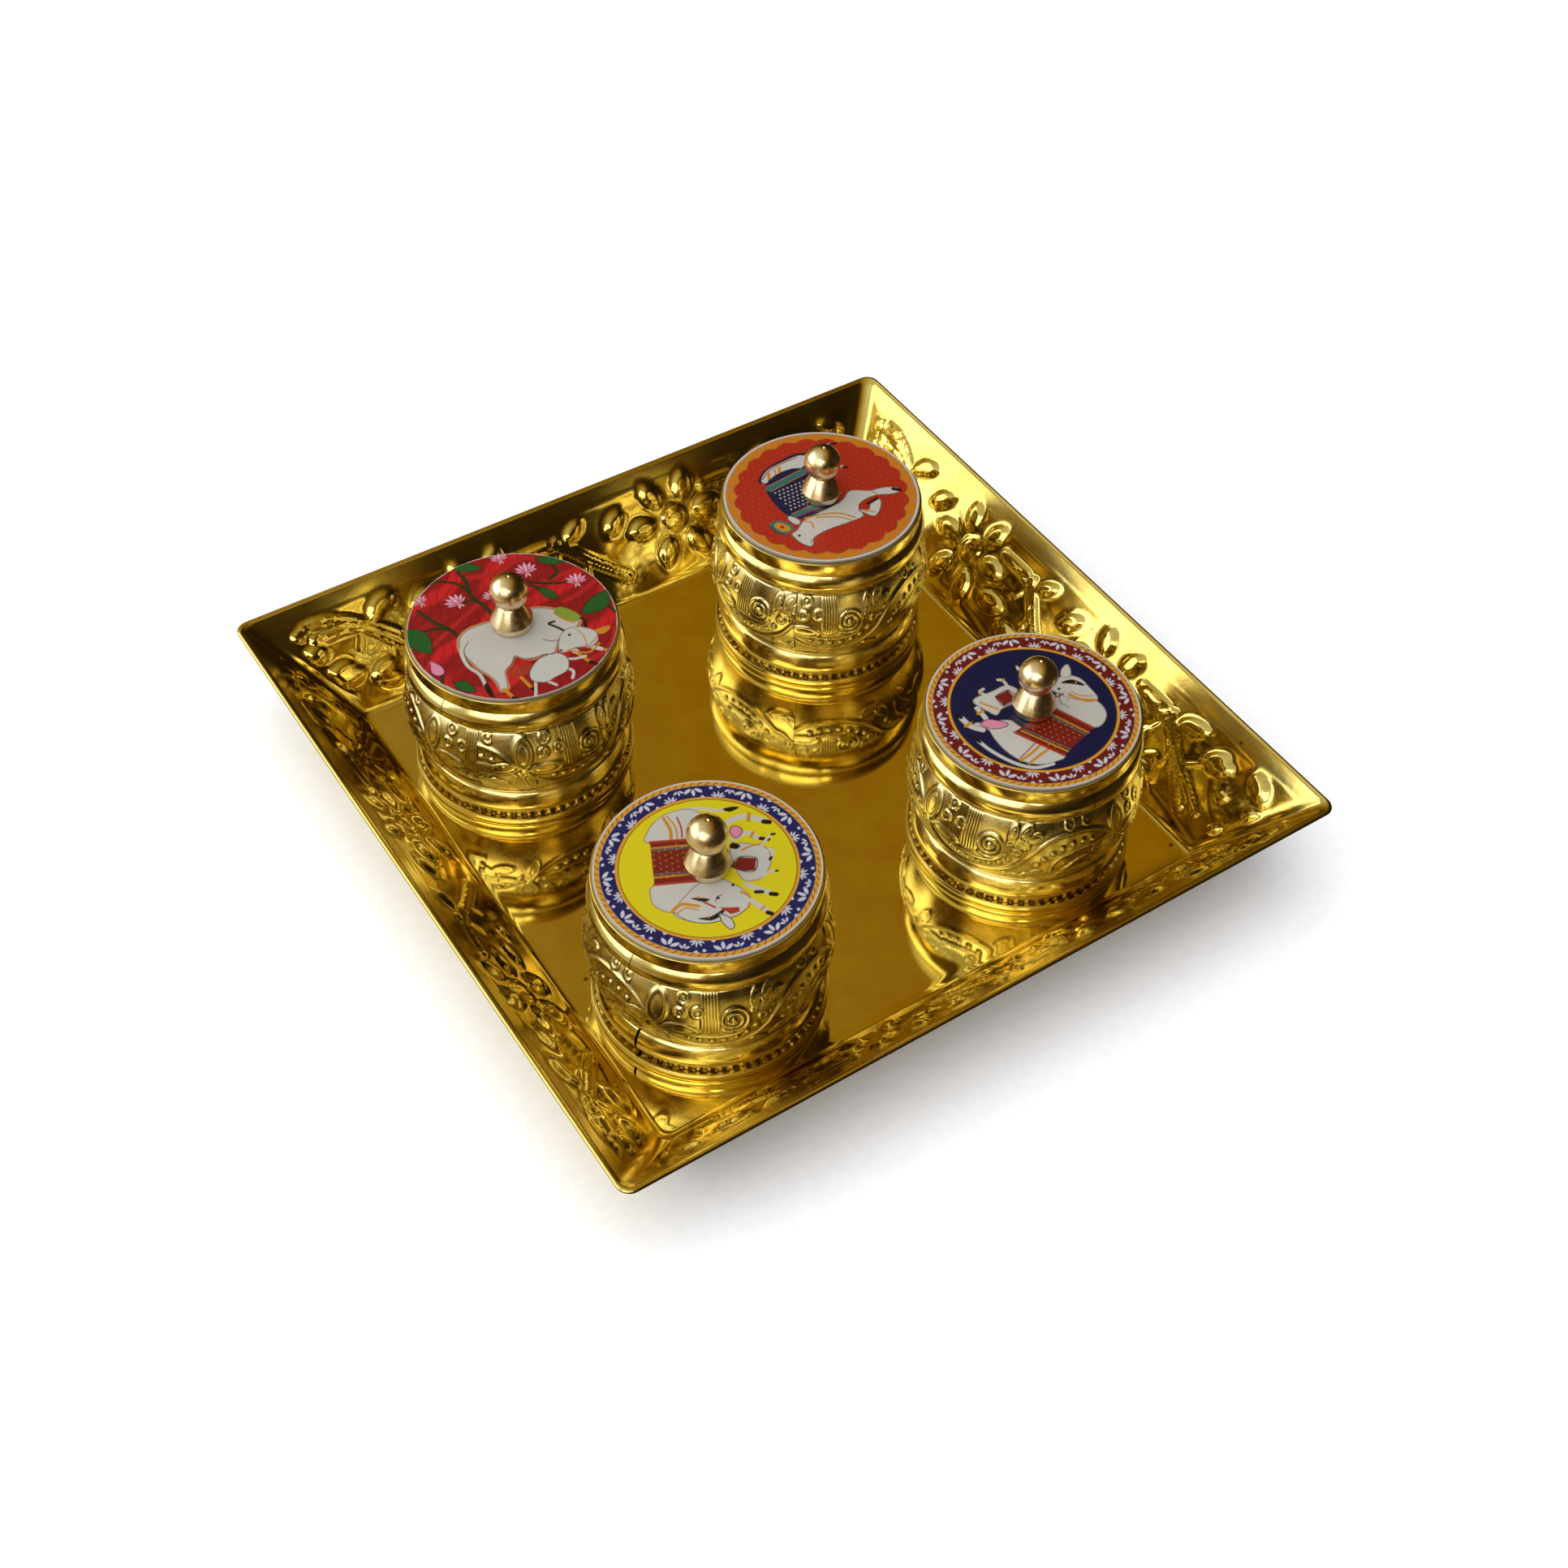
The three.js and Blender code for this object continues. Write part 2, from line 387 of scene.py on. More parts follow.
@dataclass(frozen=True)
class Extent:
    """Room that a round CAD node takes, in millimetres."""

    x: float
    y: float
    radius: float
    bottom: float
    top: float

    @classmethod
    def of(cls, node: str) -> "Extent":
        """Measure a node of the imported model."""
        low, high = (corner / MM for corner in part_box(node))
        return cls((low.x + high.x) / 2, (low.y + high.y) / 2, (high.x - low.x) / 2, low.z, high.z)

    @property
    def height(self) -> float:
        """Height of the node."""
        return self.top - self.bottom


def softened(outline: Sequence[Point], radius: float, steps: int = 3, closed: bool = False) -> list[Point]:
    """Round the corners of an outline.

    Args:
        outline: Points of radius and height.
        radius: How far along each side the rounding starts.
        steps: Short sides that make one rounded corner.
        closed: Whether the last point joins the first.

    Returns:
        The rounded outline.
    """
    points = [Vector(p) for p in outline]
    count = len(points)
    result: list[Point] = []
    for i, here in enumerate(points):
        if not closed and i in (0, count - 1):
            result.append(tuple(here))
            continue
        before, after = points[i - 1] - here, points[(i + 1) % count] - here
        cut_before, cut_after = min(radius, 0.45 * before.length), min(radius, 0.45 * after.length)
        start, end = here + before.normalized() * cut_before, here + after.normalized() * cut_after
        for step in range(steps + 1):
            t = step / steps
            result.append(tuple((1 - t) ** 2 * start + 2 * t * (1 - t) * here + t * t * end))
    return result


def spun(outline: Sequence[Point], steps: int = 120, closed: bool = False) -> bmesh.types.BMesh:
    """Spin an outline of radius and height round the Z axis.

    Args:
        outline: Points from the axis out and back to it, or a loop that stays off the axis.
        steps: Facets round the axis.
        closed: Whether the outline is a loop.

    Returns:
        The closed solid.
    """
    mesh = bmesh.new()
    verts = [mesh.verts.new((max(radius, 0.0), 0, height)) for radius, height in outline]
    ends = zip(verts, verts[1:] + verts[:1] if closed else verts[1:])
    edges = [mesh.edges.new(pair) for pair in ends]
    bmesh.ops.spin(
        mesh, geom=verts + edges, cent=(0, 0, 0), axis=(0, 0, 1), angle=math.tau, steps=steps, use_merge=True
    )
    bmesh.ops.remove_doubles(mesh, verts=mesh.verts, dist=1e-4)
    bmesh.ops.recalc_face_normals(mesh, faces=mesh.faces)
    return mesh


def bent_grid(columns: int, rows: int, bend: Callable[[np.ndarray, np.ndarray], Grid]) -> bmesh.types.BMesh:
    """Bend a flat grid into shape.

    Args:
        columns: Cells along the first direction.
        rows: Cells along the second direction.
        bend: Gives places in millimetres, and the share of patina and painted shade that each takes in a groove, from
            column and row numbers.

    Returns:
        The bent grid with its meeting edges merged.
    """
    flat = bmesh.new()
    bmesh.ops.create_grid(flat, x_segments=columns, y_segments=rows, size=0.5)
    data = bpy.data.meshes.new("bent")
    flat.to_mesh(data)
    flat.free()
    places = np.empty(len(data.vertices) * 3)
    data.vertices.foreach_get("co", places)
    places = places.reshape(-1, 3)
    column, row = np.rint((places[:, 0] + 0.5) * columns), np.rint((places[:, 1] + 0.5) * rows)
    *bent, groove = bend(column, row)
    data.vertices.foreach_set("co", np.stack(bent, axis=1).ravel())
    # The share of patina and painted shade in the grooves, for the brass finishes.
    layer = data.attributes.new("patina_and_shade", "FLOAT", "POINT")
    layer.data.foreach_set("value", np.broadcast_to(groove, column.shape).astype(np.float32))
    mesh = bmesh.new()
    mesh.from_mesh(data)
    bpy.data.meshes.remove(data)
    bmesh.ops.remove_doubles(mesh, verts=mesh.verts, dist=1e-4)
    return mesh


def crevices(column: np.ndarray, row: np.ndarray, height: np.ndarray, depth: float, reach: int = 2) -> np.ndarray:
    """Tell how far each place of a bent grid lies below what is round it.

    Args:
        column: Column numbers of the places.
        row: Row numbers of the places.
        height: Heights of the places.
        depth: How far below counts as the bottom of a groove.
        reach: How many cells away the surroundings reach.

    Returns:
        Shares from 0 to 1.
    """
    across, up = column.astype(int), row.astype(int)
    table = np.zeros((across.max() + 1, up.max() + 1))
    table[across, up] = height
    around = sum(
        np.roll(table, (i, j), (0, 1)) for i in range(-reach, reach + 1) for j in range(-reach, reach + 1)
    ) / (2 * reach + 1) ** 2
    return np.clip((around - table)[across, up] / depth, 0, 1)


def close_holes(mesh: bmesh.types.BMesh) -> None:
    """Close every open rim with one face and turn the faces outwards."""
    rims = [edge for edge in mesh.edges if edge.is_boundary]
    if rims:
        bmesh.ops.holes_fill(mesh, edges=rims, sides=0)
    bmesh.ops.recalc_face_normals(mesh, faces=mesh.faces)


@dataclass
class Piece:
    """One visible piece: its mesh, finish, the body it rides on and the node it stands for."""

    name: str
    body: str
    node: str
    slot: str
    material: bpy.types.Material
    sharp: float = 35.0  # angle past which an edge stays crisp

    def make(self, mesh: bmesh.types.BMesh, offset: Point = (0.0, 0.0)) -> bpy.types.Object:
        """Finish a mesh in millimetres as a piece in metres.

        Args:
            mesh: The shape, which is used up.
            offset: Where its axis stands.

        Returns:
            The finished object.
        """
        bmesh.ops.translate(mesh, vec=(*offset, 0), verts=mesh.verts)
        bmesh.ops.scale(mesh, vec=(MM, MM, MM), verts=mesh.verts)
        data = bpy.data.meshes.new(self.name)
        mesh.to_mesh(data)
        mesh.free()
        data.polygons.foreach_set("use_smooth", [True] * len(data.polygons))
        data.set_sharp_from_angle(angle=math.radians(self.sharp))
        data.materials.append(self.material)
        made = bpy.data.objects.new(self.name, data)
        bpy.context.scene.collection.objects.link(made)
        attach(made, self.body)
        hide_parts(self.node)
        LOG.info("%s: %d faces on %s", self.name, len(data.polygons), self.body)
        return made


def store(mesh: bmesh.types.BMesh, name: str, values: np.ndarray) -> None:
    """Keep one number for each vertex under an attribute's name."""
    layer = mesh.verts.layers.float.new(name)
    for vert, value in zip(mesh.verts, values):
        vert[layer] = float(value)


# ---------------------------------------------------------------- pressed pattern


def smooth(value: np.ndarray) -> np.ndarray:
    """Ease a share from 0 to 1."""
    t = np.clip(value, 0, 1)
    return t * t * (3 - 2 * t)


def distance_to_path(x: np.ndarray, y: np.ndarray, path: Sequence[Point]) -> np.ndarray:
    """Give the distance from each place to a line of points."""
    nearest = np.full(x.shape, np.inf)
    for (x0, y0), (x1, y1) in zip(path, path[1:]):
        along_x, along_y = x1 - x0, y1 - y0
        length = max(along_x**2 + along_y**2, 1e-9)
        share = np.clip(((x - x0) * along_x + (y - y0) * along_y) / length, 0, 1)
        nearest = np.minimum(nearest, np.hypot(x - x0 - share * along_x, y - y0 - share * along_y))
    return nearest


def round_shape(x: np.ndarray, y: np.ndarray, points: Sequence[Point], margin: float) -> np.ndarray:
    """Find the places inside a box round a shape's points, with a margin."""
    xs, ys = zip(*points)
    beside = (x > min(xs) - margin) & (x < max(xs) + margin)
    return beside & (y > min(ys) - margin) & (y < max(ys) + margin)


def curve_through(points: Sequence[Point], steps: int = 6, closed: bool = False) -> list[Point]:
    """Lead a smooth curve through points.

    Args:
        points: What the curve passes through.
        steps: Short sides between two points.
        closed: Whether it returns to its start.

    Returns:
        Points along the curve.
    """
    count = len(points)
    spans = count if closed else count - 1
    result: list[Point] = []
    for i in range(spans):
        around = [points[(i + k) % count] if closed else points[min(max(i + k, 0), count - 1)] for k in (-1, 0, 1, 2)]
        a, b, c, d = (np.array(p, float) for p in around)
        for step in range(steps):
            t = step / steps
            curved = (2 * a - 5 * b + 4 * c - d) * t**2 + (3 * b - a - 3 * c + d) * t**3
            result.append(tuple(0.5 * (2 * b + (c - a) * t + curved)))
    result.append(result[0] if closed else tuple(points[-1]))
    return result


class Relief:
    """Height of a pressed pattern above a sheet, built up from motifs."""

    def __init__(self, x: np.ndarray, y: np.ndarray) -> None:
        """Start with a flat sheet.

        Args:
            x: Places along the sheet.
            y: Places down the sheet.
        """
        self.x, self.y = x, y
        self.height = np.zeros(x.shape)

    def around(self, centre: Point, radius: float) -> tuple[np.ndarray, np.ndarray, np.ndarray]:
        """Find the places within a radius, and how far each lies along and down from the centre."""
        x, y = self.x - centre[0], self.y - centre[1]
        near = np.hypot(x, y) < radius
        return near, x[near], y[near]

    def raise_to(self, near: np.ndarray, height: np.ndarray) -> None:
        """Keep the highest of what is there and a new motif."""
        self.height[near] = np.maximum(self.height[near], height)

    def almond(
        self, centre: Point, half: Point, turn: float = 0.0, rim: float = 0.5, dome: float = 0.7, point: float = 1.6
    ) -> None:
        """Press an almond or round shape: a ridge round a low dome.

        Args:
            centre: Its middle.
            half: Half its length and half its width, over the ridge.
            turn: Degrees from level, up to the right.
            rim: Height of the ridge.
            dome: Height of the dome.
            point: 2 for a round end, less for a pointed one.
        """
        near, x, y = self.around(centre, 1.5 * max(half))
        cos, sin = math.cos(math.radians(turn)), math.sin(math.radians(turn))
        along, across = (x * cos - y * sin) / half[0], (y * cos + x * sin) / half[1]
        reach = along**2 + np.abs(across) ** point
        ridge = rim * np.exp(-(((np.sqrt(reach) - 0.92) / 0.16) ** 2))
        self.raise_to(near, ridge + dome * smooth(1.2 * (1 - reach / 0.85)))

    def bead(self, centre: Point, radius: float, height: float) -> None:
        """Press a round bead."""
        near, x, y = self.around(centre, radius)
        self.raise_to(near, height * np.sqrt(1 - (np.hypot(x, y) / radius) ** 2))

    def ring(self, centre: Point, radius: float, height: float, width: float = 0.35) -> None:
        """Press a ring with a dot in its middle."""
        near, x, y = self.around(centre, radius + 3 * width)
        reach = np.hypot(x, y)
        ridge = height * np.exp(-(((reach - radius) / width) ** 2))
        self.raise_to(near, ridge + 0.6 * height * np.exp(-((reach / (0.45 * radius)) ** 2)))

    def stem(self, points: Sequence[Point], width: float, height: float, double: bool = False) -> None:
        """Press a raised line through points, single or with a groove along its middle."""
        path = curve_through(points)
        near = round_shape(self.x, self.y, path, 2 * width)
        reach = distance_to_path(self.x[near], self.y[near], path)
        peak = (reach - 0.34 * width) / (0.22 * width) if double else reach / (0.55 * width)
        raised = height * np.exp(-(peak**2))
        if double:
            raised = np.maximum(raised, 0.45 * height * smooth(1.6 - 2 * reach / width))
        self.raise_to(near, raised)


# ---------------------------------------------------------------- the tray


@dataclass
class Tray:
    """Pressed square tray: one brass sheet with four sloping flowered walls."""

    floor_side: float = 158.2
    sheet: float = 1.0
    wall_wide: float = 1.3
    rim_corner: float = 3.5
    floor_corner: float = 3.0
    crease: float = 2.6  # rounding between floor and wall
    flowers: Point = (-34.0, 26.0)  # places of the two flowers along a wall
    flower_pitch: float = 60.0
    flower_height: float = 0.85
    fade: float = 2.5  # how far from a corner the pattern dies away
    sway: float = 0.28  # how far a wall waves in and out
    groove_deep: float = 0.45  # depth at which a groove's patina and painted shade are as dark as they get
    # strongest share of patina and painted shade in a groove
    groove_patina_and_shade: float = 0.55
    columns: int = 300  # along one wall
    corner_columns: int = 8
    inner_rows: int = 42
    outer_rows: int = 18
    half: float = field(init=False)  # half width over the rim
    top: float = field(init=False)
    slope: float = field(init=False)  # of the walls, in radians
    profile: list[tuple[float, float, float, float]] = field(init=False)

    def build(self, finishes: Finishes) -> None:
        """Build and dress the tray."""
        low, high = (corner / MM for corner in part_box("tray"))
        self.half, self.top = (high.x - low.x) / 2, high.z
        self.lay_profile()
        per_side = self.columns + self.corner_columns
        mesh = bent_grid(4 * per_side, len(self.profile) - 1, self.bend)
        close_holes(mesh)
        Piece("tray_sheet", "tray", "tray", "tray_brass", finishes.tray, sharp=40).make(mesh)

    def lay_profile(self) -> None:
        """List the rows up the inside of a wall, over its rim and down its outside.

        Each row holds its half width, its height, how far down the wall it is, and its share of the pattern,
        which is negative on the outside.
        """
        inner_foot, inner_rim = self.floor_side / 2, self.half - self.wall_wide
        rise, run = self.top - self.sheet, inner_rim - inner_foot
        self.slope = math.atan2(rise, run)
        length = math.hypot(rise, run)
        cos, sin = math.cos(self.slope), math.sin(self.slope)
        rows = []
        reach = self.crease * math.tan(self.slope / 2)
        for step in range(5):
            turn = self.slope * step / 4
            rows.append(
                (
                    inner_foot - reach + self.crease * math.sin(turn),
                    self.sheet + self.crease * (1 - math.cos(turn)),
                    length,
                    0.0,
                )
            )
        lowest = length - reach
        for step in range(1, self.inner_rows + 1):
            down = lowest + (0.5 - lowest) * step / self.inner_rows
            rows.append((inner_rim - down * cos, self.top - down * sin, down, 1.0))
        lip = self.wall_wide / 2
        for turn in np.radians([150, 125, 100, 75, 50, 25, 0]):
            rows.append((self.half - lip + lip * math.cos(turn), self.top - lip + lip * math.sin(turn), 0, 0.0))
        foot = inner_foot - self.sheet / math.tan(self.slope) + self.wall_wide
        outer = math.hypot(self.half - foot, self.top)
        for step in range(1, self.outer_rows + 1):
            down = 1.0 + (outer - 3.0) * step / self.outer_rows
            rows.append((self.half - down * cos, self.top - down * sin, down, -1.0))
        rows += [(foot - 0.3, 0.25, length, 0.0), (foot - 1.2, 0.0, length, 0.0)]
        self.profile = rows

    def bend(self, column: np.ndarray, row: np.ndarray) -> Grid:
        """Bend the sheet's grid into the tray."""
        table = np.array(self.profile)
        half, height, down, share = (table[row.astype(int), i] for i in range(4))
        per_side = self.columns + self.corner_columns
        side = (column // per_side).astype(int) % 4
        step = column % per_side
        corner = self.floor_corner + (self.rim_corner - self.floor_corner) * height / self.top
        straight = half - corner
        along = straight * np.clip(2 * step / self.columns - 1, -1, 1)
        turn = np.radians(90) * np.clip((step - self.columns) / self.corner_columns, 0, 1)
        relief = self.pattern(along, down)
        edge = smooth((np.abs(share) > 0) * (straight - np.abs(along)) / self.fade)
        belly = np.sin(np.pi * np.clip(down / 34, 0, 1))  # nothing at the rim and at the floor
        sway = self.sway * np.sin(along / 17 + 2.1 * side) * belly * edge
        lift = relief * edge + sway * (np.abs(share) > 0)
        out = straight + corner * np.cos(turn) - lift * math.sin(self.slope)
        across = along + corner * np.sin(turn)
        z = height + lift * math.cos(self.slope)
        out_x, out_y = np.array([0, 1, 0, -1])[side], np.array([1, 0, -1, 0])[side]
        x = out * out_x + across * out_y
        y = out * out_y - across * out_x
        # Painted shade and patina where the pressed pattern lies below its surroundings on the inside.
        groove = self.groove_patina_and_shade * crevices(column, row, relief * edge * (share > 0), self.groove_deep)
        return x, y, z, groove

    def pattern(self, x: np.ndarray, down: np.ndarray) -> np.ndarray:
        """Give the height of the flowers and leaves pressed into a wall.

        Args:
            x: Places along the wall, seen from inside the tray.
            down: Distance down the wall from the rim.

        Returns:
            Heights towards the inside of the tray.
        """
        relief = Relief(x, down)
        relief.stem([(-95, 5.3), (95, 5.3)], 0.7, 0.12)
        for place in self.flowers:
            self.flower(relief, place, 16.3)
        for place in (*self.flowers, self.flowers[1] - 2 * self.flower_pitch):
            self.spray(relief, place)
        self.ends(relief)
        return self.flower_height * relief.height

    @staticmethod
    def flower(relief: Relief, x: float, down: float) -> None:
        """Press one six-petalled flower."""
        relief.almond((x, down), (3.5, 3.5), rim=0.7, dome=0.9, point=2)
        for dx, dy, turn in (
            (5.0, -7.6, 66),
            (-5.0, -7.6, -66),
            (-10.4, 0.0, 0),
            (10.2, 0.0, 0),
            (-5.3, 8.9, 62),
            (4.6, 8.9, -62),
        ):
            relief.almond((x + dx, down + dy), (5.2, 3.5), turn, rim=0.2, dome=1.45)

    @staticmethod
    def spray(relief: Relief, x: float) -> None:
        """Press the stem, leaves and buds between one flower and the next."""
        relief.bead((x + 11.1, 10.6), 1.7, 0.9)
        relief.stem([(x + 11.5, 10.8), (x + 23, 11.5), (x + 32.5, 20), (x + 41, 27)], 2.6, 0.85, double=True)
        relief.bead((x + 24, 10.2), 1.2, 0.9)
        for dx, down, half, turn, dome in (
            (29.4, 9.6, (4.6, 2.4), 35, 1.3),
            (42, 11.6, (4.8, 3.1), 38, 1.3),
            (16.2, 23.2, (6.4, 3.3), 4, 1.3),
            (26.0, 27.2, (5.6, 3.0), -14, 1.2),
        ):
            relief.almond((x + dx, down), half, turn, rim=0.2, dome=dome)
        relief.stem([(x + 21.5, 17.6), (x + 23, 14.5)], 1.3, 0.5)
        relief.stem([(x + 29.5, 22.5), (x + 30.5, 19.0)], 1.3, 0.5)

    @staticmethod
    def ends(relief: Relief) -> None:
        """Press the stems, buds and leaves that run out towards both ends of a wall."""
        relief.stem([(-87, 8.4), (-82, 6.6), (-74, 8.5), (-66, 13.5), (-61.5, 17.2)], 2.6, 0.9, double=True)
        relief.stem([(37.5, 10.6), (50, 14.2), (62, 20), (72.5, 25.6)], 1.5, 0.7)
        relief.stem([(66.5, 14.0), (60, 19.4)], 1.0, 0.45)
        relief.stem([(46, 19), (49, 24), (53, 22), (56, 27)], 1.4, 0.6)
        for centre, radius, height in (((-84, 14.4), 1.0, 1.3), ((75.6, 17.5), 1.6, 0.8), ((79.5, 25.2), 1.5, 0.7)):
            relief.bead(centre, radius, height)
        for centre, half in (((-84, 14.4), (3.6, 3.2)), ((86, 16.6), (2.6, 2.4))):
            relief.almond(centre, half, rim=0.2, dome=1.1, point=2)
        for centre, half, turn in (
            ((-79.6, 21.2), (5.8, 3.2), 14),
            ((-68.4, 24.6), (5.6, 3.2), 22),
            ((-62.8, 8.0), (5.4, 3.2), 20),
            ((58, 9.0), (5.0, 2.9), 18),
            ((70, 12.2), (4.8, 2.9), 24),
            ((82, 9.0), (5.2, 3.0), -32),
        ):
            relief.almond(centre, half, turn, rim=0.2, dome=1.3)
        relief.almond((54, 28.2), (3.4, 1.9), -10, rim=0.2, dome=1.0)


# ---------------------------------------------------------------- the boxes


@dataclass
class Band:
    """A strip of brass with a bulging face, rolled round a cup and butted at a seam."""

    bulge: float
    sheet: float = 0.6
    gap: float = 0.25  # open line at the butt seam, in degrees
    lip: float = 0.16  # rounding of its edges
    columns: int = 300
    face_rows: int = 14
    back_rows: int = 6
    seam: float = 170.0
    groove_deep: float = 0.16  # depth at which a groove's patina and painted shade are as dark as they get
    # strongest share of patina and painted shade in a groove
    groove_patina_and_shade: float = 0.95
    pattern: Callable[[np.ndarray, np.ndarray], np.ndarray] | None = None
    extent: Extent = field(init=False)

    def build(self, extent: Extent) -> bmesh.types.BMesh:
        """Roll the band to fill a node's room.

        Args:
            extent: The node's room.

        Returns:
            The closed band, standing at its height round the Z axis.
        """
        self.extent = extent
        mesh = bent_grid(self.columns, self.face_rows + self.back_rows + 4, self.bend)
        close_holes(mesh)
        return mesh

    def bend(self, column: np.ndarray, row: np.ndarray) -> Grid:
        """Bend the strip's grid round the cup: up its face, over its edge, down its back and under."""
        edge = self.extent.radius - self.bulge
        faces, backs, lip = self.face_rows, self.back_rows, self.lip / self.extent.height
        face = row <= faces
        last = faces + backs + 4
        share = np.where(face, lip + (1 - 2 * lip) * row / faces, 0.0)
        back = (row >= faces + 2) & (row <= faces + 2 + backs)
        share = np.where(row == faces + 1, 1.0, share)
        share = np.where(back, 1 - lip - (1 - 2 * lip) * (row - faces - 2) / backs, share)
        share = np.where(row == faces + backs + 3, 0.0, share)
        share = np.where(row == last, lip, share)
        depth = np.where(face | (row == last), 0.0, np.where(back, self.sheet, 0.5 * self.sheet))
        rise = self.bulge * (1 - (2 * share - 1) ** 2)
        degrees = self.seam + self.gap / 2 + (360 - self.gap) * column / self.columns
        down = (1 - share) * self.extent.height
        raised = self.pattern(degrees, down) if self.pattern else 0.0
        front = (face | (row == last)) * smooth(np.minimum(share, 1 - share) * self.extent.height / 0.5)
        radius = edge + rise - depth + raised * front
        angle = np.radians(degrees + View.FACING)
        # Painted shade and patina where the embossed pattern lies below its surroundings.
        groove = self.groove_patina_and_shade * crevices(column, row, raised * front, self.groove_deep) if self.pattern else 0.0
        return (
            radius * np.cos(angle),
            radius * np.sin(angle),
            self.extent.bottom + share * self.extent.height,
            groove,
        )


@dataclass
class VineRelief:
    """Embossed vine of a box wall: a beaded wave with flowers, swirls, rings and leaf sprigs."""

    flower_at: float  # degrees, where the first flower stands
    period: float = 103.2  # degrees
    millimetre: float = 0.506  # along the wall for one degree
    depth: float = 0.47

    def __call__(self, degrees: np.ndarray, down: np.ndarray) -> np.ndarray:
        """Give the height of the pattern at angles and distances below the wall's top edge."""
        offset = (degrees - self.flower_at + 0.16 * self.period) % self.period - 0.16 * self.period
        relief = Relief(offset * self.millimetre, down)
        span = self.period * self.millimetre
        self.wave(relief, span)
        self.flower(relief)
        self.swirl(relief)
        self.sprigs(relief, span)
        return self.depth * relief.height

    @staticmethod
    def wave(relief: Relief, span: float) -> None:
        """Emboss the double wave with beads between its lines."""
        main = [(2.1, 13.1), (5.8, 15.6), (10.4, 16.9), (17.2, 16.7), (21.7, 14.9), (25.1, 12.2), (27.4, 9.2)]
        main += [(30.3, 6.2), (33.1, 4.4), (37.7, 3.4), (42.0, 3.6), (45.6, 4.8), (49.0, 7.2), (span, 10.2)]
        relief.stem(main, 0.85, 0.9)
        relief.stem([(x - span, y) for x, y in main[-5:]] + [(0.8, 11.4), (2.1, 13.1)], 0.85, 0.9)
        inner = [(33.5, 15.4), (33.6, 12.6), (35.4, 10.2), (39.0, 8.8), (43.0, 8.5), (47.0, 9.6), (50.0, 12.0)]
        relief.stem(inner, 0.8, 0.75)
        relief.stem([(x - span, y) for x, y in inner[-4:]], 0.8, 0.75)
        beads = [(7.2, 13.4), (9.8, 14.2), (12.6, 14.6), (15.4, 14.4), (18.2, 13.6), (20.6, 12.3), (22.8, 10.6)]
        beads += [(29.8, 12.0), (31.4, 10.0), (33.5, 8.4), (35.9, 7.2), (38.6, 6.4), (41.4, 6.3), (44.1, 6.9)]
        for x, y in beads + [(46.6, 8.4), (46.6 - span, 8.4), (44.1 - span, 6.9)]:
            relief.bead((x, y), 0.78, 1.0)

    @staticmethod
    def flower(relief: Relief) -> None:
        """Emboss the four-petalled flower on the wave."""
        relief.almond((0, 10.4), (1.0, 1.0), rim=1.0, dome=1.0, point=2)
        relief.almond((-0.3, 5.2), (4.6, 2.5), 90, rim=0.95, dome=0.7)
        relief.almond((5.5, 10.4), (4.3, 1.8), -4, rim=0.9, dome=0.8)
        relief.almond((-5.3, 9.6), (4.2, 1.8), 10, rim=0.9, dome=0.8)
        relief.almond((0.9, 14.4), (3.2, 1.3), -72, rim=0.8, dome=0.6)

    @staticmethod
    def swirl(relief: Relief) -> None:
        """Emboss the spiral that opens into the beaded wave, and the combed lines beside it."""
        centre = (17.7, 7.4)
        turns = np.linspace(0, 2.3 * math.tau, 54)
        spiral = [
            (centre[0] + (0.9 + 0.21 * t) * math.cos(t + 0.6), centre[1] + (0.9 + 0.21 * t) * math.sin(t + 0.6))
            for t in turns
        ]
        relief.stem(spiral[::2], 0.62, 0.85)
        relief.bead(centre, 0.75, 1.1)
        relief.stem([(21.3, 9.6), (18.8, 12.0), (14.5, 12.9), (10.0, 12.5), (7.0, 11.9)], 0.75, 0.8)
        for line in np.arange(10.4, 14.2, 0.75):
            relief.stem([(line, 0.6), (line, 11.2 - 0.4 * abs(line - 12))], 0.42, 0.45)

    @staticmethod
    def sprigs(relief: Relief, span: float) -> None:
        """Emboss rings and leaves between the larger motifs."""
        rings = [(5.1, 5.3, 1.15), (9.3, 4.9, 1.25), (5.8, 1.6, 1.3), (24.6, 8.0, 0.85), (22.6, 5.6, 0.6)]
        for x, y, radius in rings:
            relief.ring((x, y), radius, 0.8, 0.32)
        for x in (38.0, 43.0, 47.6):
            relief.ring((x, 1.2 if x < 45 else 2.6), 1.3, 0.8, 0.34)
        for x, y, turn in ((23.2, 2.9, 74), (26.4, 2.4, 50), (28.6, 3.9, 22), (25.4, 5.6, 160)):
            relief.almond((x, y), (2.4, 1.15), turn, rim=0.85, dome=0.8)
        relief.stem([(26.6, 8.0), (26.2, 5.6), (25.6, 3.6)], 0.5, 0.6)
        leaves = [(40.5, 13.0, 25), (45.0, 14.2, -12), (37.0, 16.4, 60), (24.5, 17.8, -20), (28.5, 16.0, 40)]
        for x, y, turn in [*leaves, (45.0 - span, 14.2, -12)]:
            relief.almond((x, y), (2.9, 1.25), turn, rim=0.8, dome=0.7)


